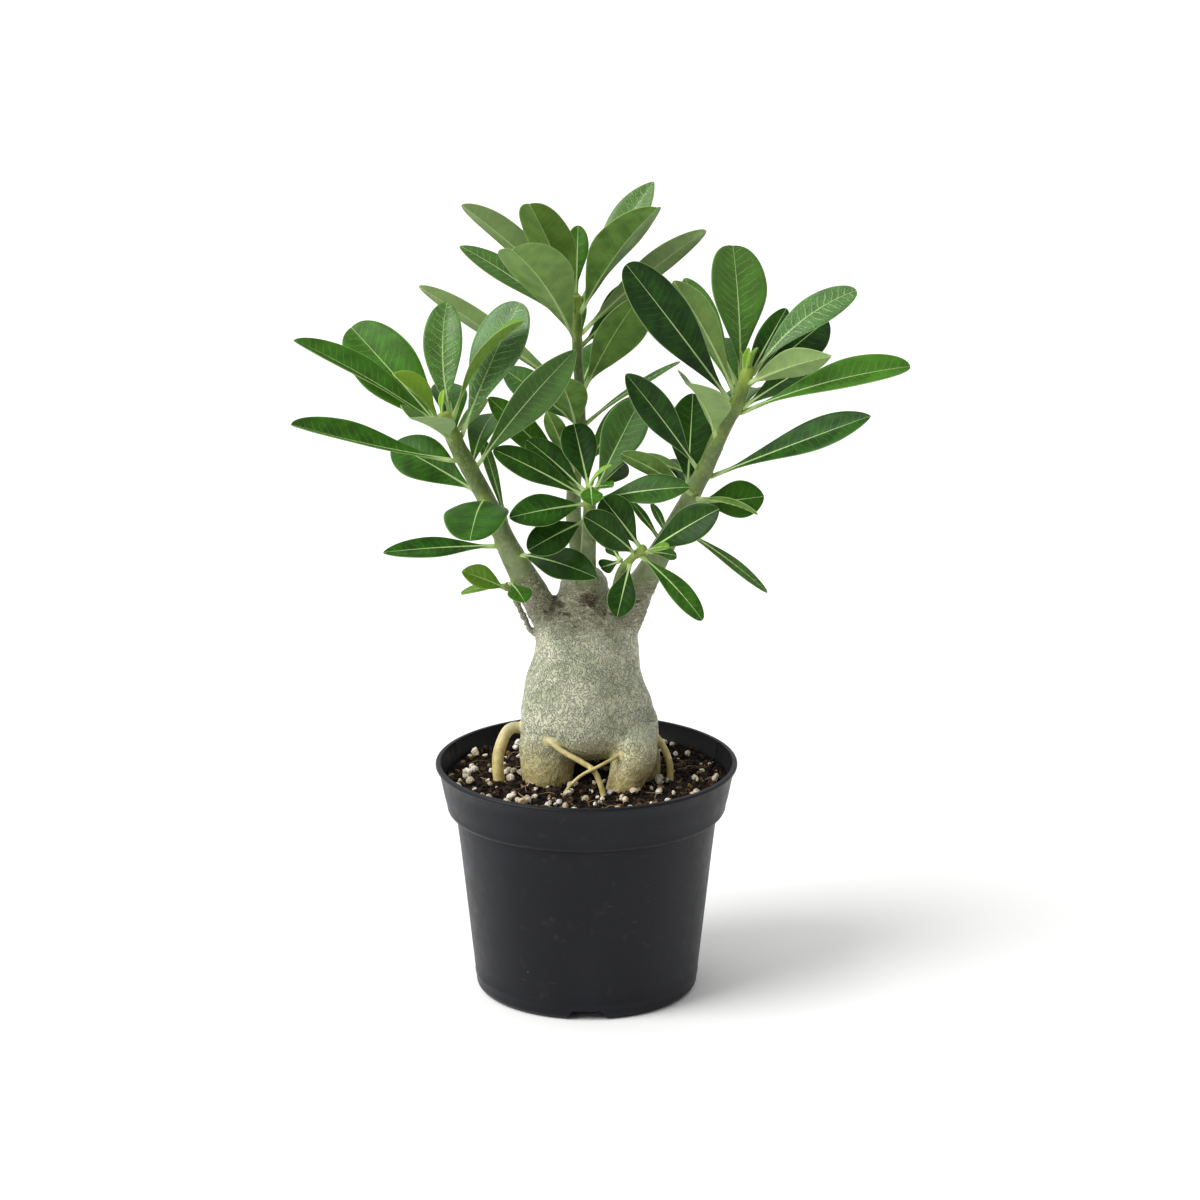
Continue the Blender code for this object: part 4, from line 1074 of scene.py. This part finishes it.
def peat_material():
    """Damp peat and fine bark: almost black brown, rough and fibrous."""
    made, tree, shader = new_material("damp_peat", 0.9, 1.4, 0.2)
    place = put(tree, "ShaderNodeTexCoord", output="Object")
    lumps = put(tree, NOISE, {"Vector": place, "Scale": 1 / (2.4 * MM), "Detail": 5.0})
    fine = put(tree, NOISE, {"Vector": place, "Scale": 1 / (0.7 * MM), "Detail": 4.0})
    patch = put(tree, RANGE, (lumps, 0.3, 0.7), **EASED)
    colour = put(tree, MIX, {0: patch, 6: "#0B0806", 7: "#1B130D"}, **RGBA)
    patch = put(tree, RANGE, (fine, 0.58, 0.75, 0.0, 0.5), **EASED)
    colour = put(tree, MIX, {0: patch, 6: colour, 7: "#3D2D1F"}, **RGBA)
    relief = put(tree, MATH, (fine, 0.5, lumps), operation="MULTIPLY_ADD")
    wire(tree, shader, colour, relief, 1.0)
    return made


def crumb_material():
    """Composted bark crumbs: most nearly black, some red brown, a few straw coloured."""
    made, tree, shader = new_material("composted_bark", 0.85, 1.4, 0.25)
    place = put(tree, "ShaderNodeTexCoord", output="Object")
    crumb = put(tree, VORONOI, {"Vector": place, "Scale": 1 / (2.6 * MM)}, "Color")
    pick = put(tree, "ShaderNodeSeparateColor", (crumb,)).node.outputs
    fine = put(tree, NOISE, {"Vector": place, "Scale": 1 / (0.6 * MM), "Detail": 4.0})
    brown = put(tree, MATH, (pick[0], 2.2), operation="POWER")
    colour = put(tree, MIX, {0: brown, 6: "#0C0907", 7: "#402E22"}, **RGBA)
    straw = put(tree, RANGE, (pick[1], 0.86, 0.95, 0.0, 0.8), **EASED)
    colour = put(tree, MIX, {0: straw, 6: colour, 7: "#8A6E4A"}, **RGBA)
    fleck = put(tree, RANGE, (fine, 0.58, 0.75, 0.0, 0.4), **EASED)
    colour = put(tree, MIX, {0: fleck, 6: colour, 7: "#4A3826"}, **RGBA)
    wire(tree, shader, colour, fine, 0.4)
    return made


def perlite_material():
    """Expanded volcanic glass: white to cream, matt and full of small pores, with peat stains."""
    made, tree, shader = new_material("perlite", 0.8, 1.45, 0.3)
    place = put(tree, "ShaderNodeTexCoord", output="Object")
    stain = put(tree, NOISE, {"Vector": place, "Scale": 1 / (2.5 * MM), "Detail": 4.0})
    grain = put(tree, VORONOI, {"Vector": place, "Scale": 1 / (5 * MM)}, "Color")
    pick = put(tree, "ShaderNodeSeparateColor", (grain,)).node.outputs
    pores = put(tree, VORONOI, {"Vector": place, "Scale": 1 / (0.6 * MM)})
    colour = put(tree, MIX, {0: pick[0], 6: "#EFECE2", 7: "#C9B690"}, **RGBA)
    patch = put(tree, RANGE, (stain, 0.48, 0.68, 0.0, 0.75), **EASED)
    colour = put(tree, MIX, {0: patch, 6: colour, 7: "#7D6647"}, **RGBA)
    wire(tree, shader, colour, pores, 0.35)
    return made


def grain_tree(name, material):
    """A node tree that scatters rough grains over a surface."""
    tree = bpy.data.node_groups.new(name, "GeometryNodeTree")
    face = tree.interface
    face.new_socket("Geometry", in_out="INPUT", socket_type="NodeSocketGeometry")
    for label in ("Per square metre", "Smallest", "Largest", "Flatness", "Lumpiness"):
        face.new_socket(label, in_out="INPUT", socket_type="NodeSocketFloat")
    for label in ("Roundness", "Seed"):
        face.new_socket(label, in_out="INPUT", socket_type="NodeSocketInt")
    face.new_socket("Geometry", in_out="OUTPUT", socket_type="NodeSocketGeometry")
    given = put(tree, "NodeGroupInput").node.outputs
    spread = {"Mesh": given["Geometry"], "Density": given["Per square metre"], "Seed": given["Seed"]}
    spots = put(tree, "GeometryNodeDistributePointsOnFaces", spread, "Points")
    ball = put(tree, "GeometryNodeMeshIcoSphere", {"Radius": 0.5, "Subdivisions": given["Roundness"]}, "Mesh")
    turn = put(tree, "FunctionNodeRandomValue", {1: (math.tau,) * 3, "Seed": given["Seed"]},
               data_type="FLOAT_VECTOR")
    size = put(tree, "FunctionNodeRandomValue",
               {2: given["Smallest"], 3: given["Largest"], "Seed": given["Seed"]}, 1, data_type="FLOAT")
    low = put(tree, "ShaderNodeCombineXYZ", (given["Flatness"],) * 3)
    flat = put(tree, "FunctionNodeRandomValue", {0: low, 1: (1.25,) * 3, "Seed": given["Seed"]},
               data_type="FLOAT_VECTOR")
    scale = put(tree, "ShaderNodeVectorMath", {0: flat, "Scale": size}, operation="SCALE")
    grains = put(tree, "GeometryNodeInstanceOnPoints",
                 {"Points": spots, "Instance": ball, "Rotation": turn, "Scale": scale})
    real = put(tree, "GeometryNodeRealizeInstances", (grains,))
    where = put(tree, "GeometryNodeInputPosition")
    rough = put(tree, NOISE, {"Vector": where, "Scale": 520.0, "Detail": 2.0}, "Color")
    centred = put(tree, "ShaderNodeVectorMath", (rough, (0.5, 0.5, 0.5)), operation="SUBTRACT")
    shove = put(tree, "ShaderNodeVectorMath", {0: centred, "Scale": given["Lumpiness"]}, operation="SCALE")
    moved = put(tree, "GeometryNodeSetPosition", {"Geometry": real, "Offset": shove})
    coated = put(tree, "GeometryNodeSetMaterial", {"Geometry": moved, "Material": material})
    tree.links.new(coated, tree.nodes.new("NodeGroupOutput").inputs[0])
    return tree


def make_grains(name, level, edge, material, sizes):
    """Grains scattered over the growing mix, as one piece."""
    rings = np.linspace(1.0, edge - 1.5, 36)
    sides = 120
    angles = np.linspace(0, math.tau, sides, endpoint=False)
    spots = [(r * math.cos(a), r * math.sin(a)) for r in rings for a in angles]
    points = [(x, y, level + mix_height(x, y) + 0.2) for x, y in spots]
    faces = ring_faces(len(rings), sides)
    bed = bpy.data.meshes.new(name)
    bed.from_pydata((np.array(points) * MM).tolist(), [], faces)
    grains = add_object(name, bed)
    tree = grain_tree(name + "_scatter", material)
    modifier = grains.modifiers.new("scatter", "NODES")
    modifier.node_group = tree
    for item in tree.interface.items_tree:
        if item.in_out == "INPUT" and item.name in sizes:
            modifier[item.identifier] = sizes[item.name]
    mesh = evaluated_mesh(grains)
    grains.modifiers.clear()
    grains.data = mesh
    finish_piece(grains, "growing_mix")
    mesh.set_sharp_from_angle(angle=math.radians(38))


def make_root_hairs(level):
    """Fine dry root hairs lying on the growing mix."""
    dice = random.Random(23)
    shapes = []
    for _ in range(HAIRS):
        angle, radius = dice.uniform(0, math.tau), dice.uniform(28, 60)
        x, y = radius * math.cos(angle), radius * math.sin(angle)
        heading, bend = dice.uniform(0, math.tau), dice.uniform(-0.3, 0.3)
        thickness = dice.uniform(0.16, 0.36)
        rows = []
        for k in range(7):
            lift = 0.7 + 1.6 * math.sin(math.pi * k / 6) * dice.uniform(0.6, 1.0)
            rows.append((x, y, level + mix_height(x, y) + lift, thickness * (1 - 0.09 * k)))
            heading += bend + dice.uniform(-0.4, 0.4)
            x += HAIR_STEP * math.cos(heading)
            y += HAIR_STEP * math.sin(heading)
            if math.hypot(x, y) > HAIR_LIMIT:
                break
        if len(rows) > 2:
            shapes.append(tube_shape(smooth_path(rows, 3), 6))
    mesh = mesh_of("root_hairs", shapes)
    made, tree, shader = new_material("dry_root", 0.7, 1.45, 0.3)
    place = put(tree, "ShaderNodeTexCoord", output="Object")
    patch = put(tree, NOISE, {"Vector": place, "Scale": 1 / (5 * MM), "Detail": 3.0})
    colour = put(tree, MIX, {0: patch, 6: "#4E3B28", 7: "#A08A62"}, **RGBA)
    wire(tree, shader, colour)
    mesh.materials.append(made)
    finish_piece(add_object("root_hairs", mesh), "growing_mix")


# ---------------------------------------------------------------- setting

def make_setting():
    """A matt white floor, a broad soft key light from the left front, and a pale room around."""
    floor_mesh = bpy.data.meshes.new("floor")
    far = FLOOR_REACH
    corners = [(-far, -far, 0), (far, -far, 0), (far, far, 0), (-far, far, 0)]
    floor_mesh.from_pydata(corners, [], [(0, 1, 2, 3)])
    made, tree, shader = new_material("matt_white_paper", 0.9, 1.5, 0.1)
    place = put(tree, "ShaderNodeTexCoord", output="Object")
    patch = put(tree, NOISE, {"Vector": place, "Scale": 2.5, "Detail": 2.0})
    colour = put(tree, MIX, {0: patch, 6: "#F6F6F5", 7: "#F8F8F7"}, **RGBA)
    wire(tree, shader, colour)
    floor_mesh.materials.append(made)
    add_object("floor", floor_mesh)

    sun = bpy.data.lights.new("key_light", "SUN")
    sun.energy = SUN_ENERGY
    sun.angle = math.radians(SUN_WIDTH)
    key = bpy.data.objects.new("key_light", sun)
    key.rotation_euler = Vector(SUN_WAY).to_track_quat("Z", "Y").to_euler()
    bpy.context.scene.collection.objects.link(key)

    # the room glows most on the left, above and behind, and is dim in front
    world = bpy.data.worlds.new("room")
    world.use_nodes = True
    tree = world.node_tree
    where = put(tree, "ShaderNodeTexCoord", output="Generated")
    ways = put(tree, SEPARATE, (where,)).node.outputs
    left = put(tree, RANGE, (ways[0], 0.1, -0.9, 0.10, 0.95), **EASED)
    right = put(tree, RANGE, (ways[0], 0.45, 1.0, 0.0, 0.45), **EASED)
    above = put(tree, RANGE, (ways[2], 0.25, 0.9, 0.0, 0.62), **EASED)
    behind = put(tree, RANGE, (ways[1], 0.0, 0.9, 0.0, 0.6), **EASED)
    glow = left
    for share in (right, above, behind):
        glow = put(tree, MATH, (glow, share), operation="ADD")
    back = tree.nodes["Background"]
    tree.links.new(put(tree, "ShaderNodeCombineColor", (glow, glow, glow)), back.inputs["Color"])
    back.inputs["Strength"].default_value = ROOM_STRENGTH
    bpy.context.scene.world = world

    lens = bpy.data.cameras.new("camera")
    lens.lens, lens.sensor_width = CAMERA_LENS, CAMERA_SENSOR
    camera = bpy.data.objects.new("camera", lens)
    camera.location = [length * MM for length in CAMERA_PLACE]
    camera.rotation_euler = (math.radians(CAMERA_TILT), 0, 0)
    bpy.context.scene.collection.objects.link(camera)
    bpy.context.scene.camera = camera
    bpy.context.scene.view_settings.view_transform = "Standard"


# ---------------------------------------------------------------- the whole plant

leaf_skins = {
    "satin": leaf_skin("leaf_cuticle", UPPER_GREENS, 0.42, 0.17, 0.5),
    "glossy": leaf_skin("leaf_cuticle_waxy", UPPER_GREENS, 0.32, 0.6, 0.9),
    "underside": leaf_skin("leaf_underside", LOWER_GREENS, 0.55, 0.3, -0.5),
}
plans = {}
for node in sorted(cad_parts):
    if node.startswith("leaf_"):
        plans[node] = leaf_plan(node)
        look = LEAF_LOOKS.get(node.removeprefix("leaf_"), "mature")
        make_leaf("blade" + node[4:], plans[node], look, node)
for name, (*shape, look) in SMALL_LEAVES.items():
    plans[name] = small_plan(*shape)
    make_leaf(name, plans[name], look)
make_bark(np.array([plan["seat"] for plan in plans.values()]))
make_pot()
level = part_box("soil")[1].z / MM - 1.0
edge = BAND_LOW_RADIUS - WALL + WALL_SLOPE * (level - BAND_LOW_Z - 4) - SOIL_EDGE_GAP
make_mix(level, edge)
make_grains("crumbs", level, edge, crumb_material(), {
    "Per square metre": 170000.0, "Smallest": 1.0 * MM, "Largest": 4.2 * MM, "Flatness": 0.4,
    "Lumpiness": 1.6 * MM, "Roundness": 1, "Seed": GRAINS_SEED})
make_grains("perlite", level + 1.0, edge - 1, perlite_material(), {
    "Per square metre": 14000.0, "Smallest": 1.3 * MM, "Largest": 4.9 * MM, "Flatness": 0.6,
    "Lumpiness": 2.2 * MM, "Roundness": 2, "Seed": GRAINS_SEED + 3})
make_root_hairs(level)
make_setting()
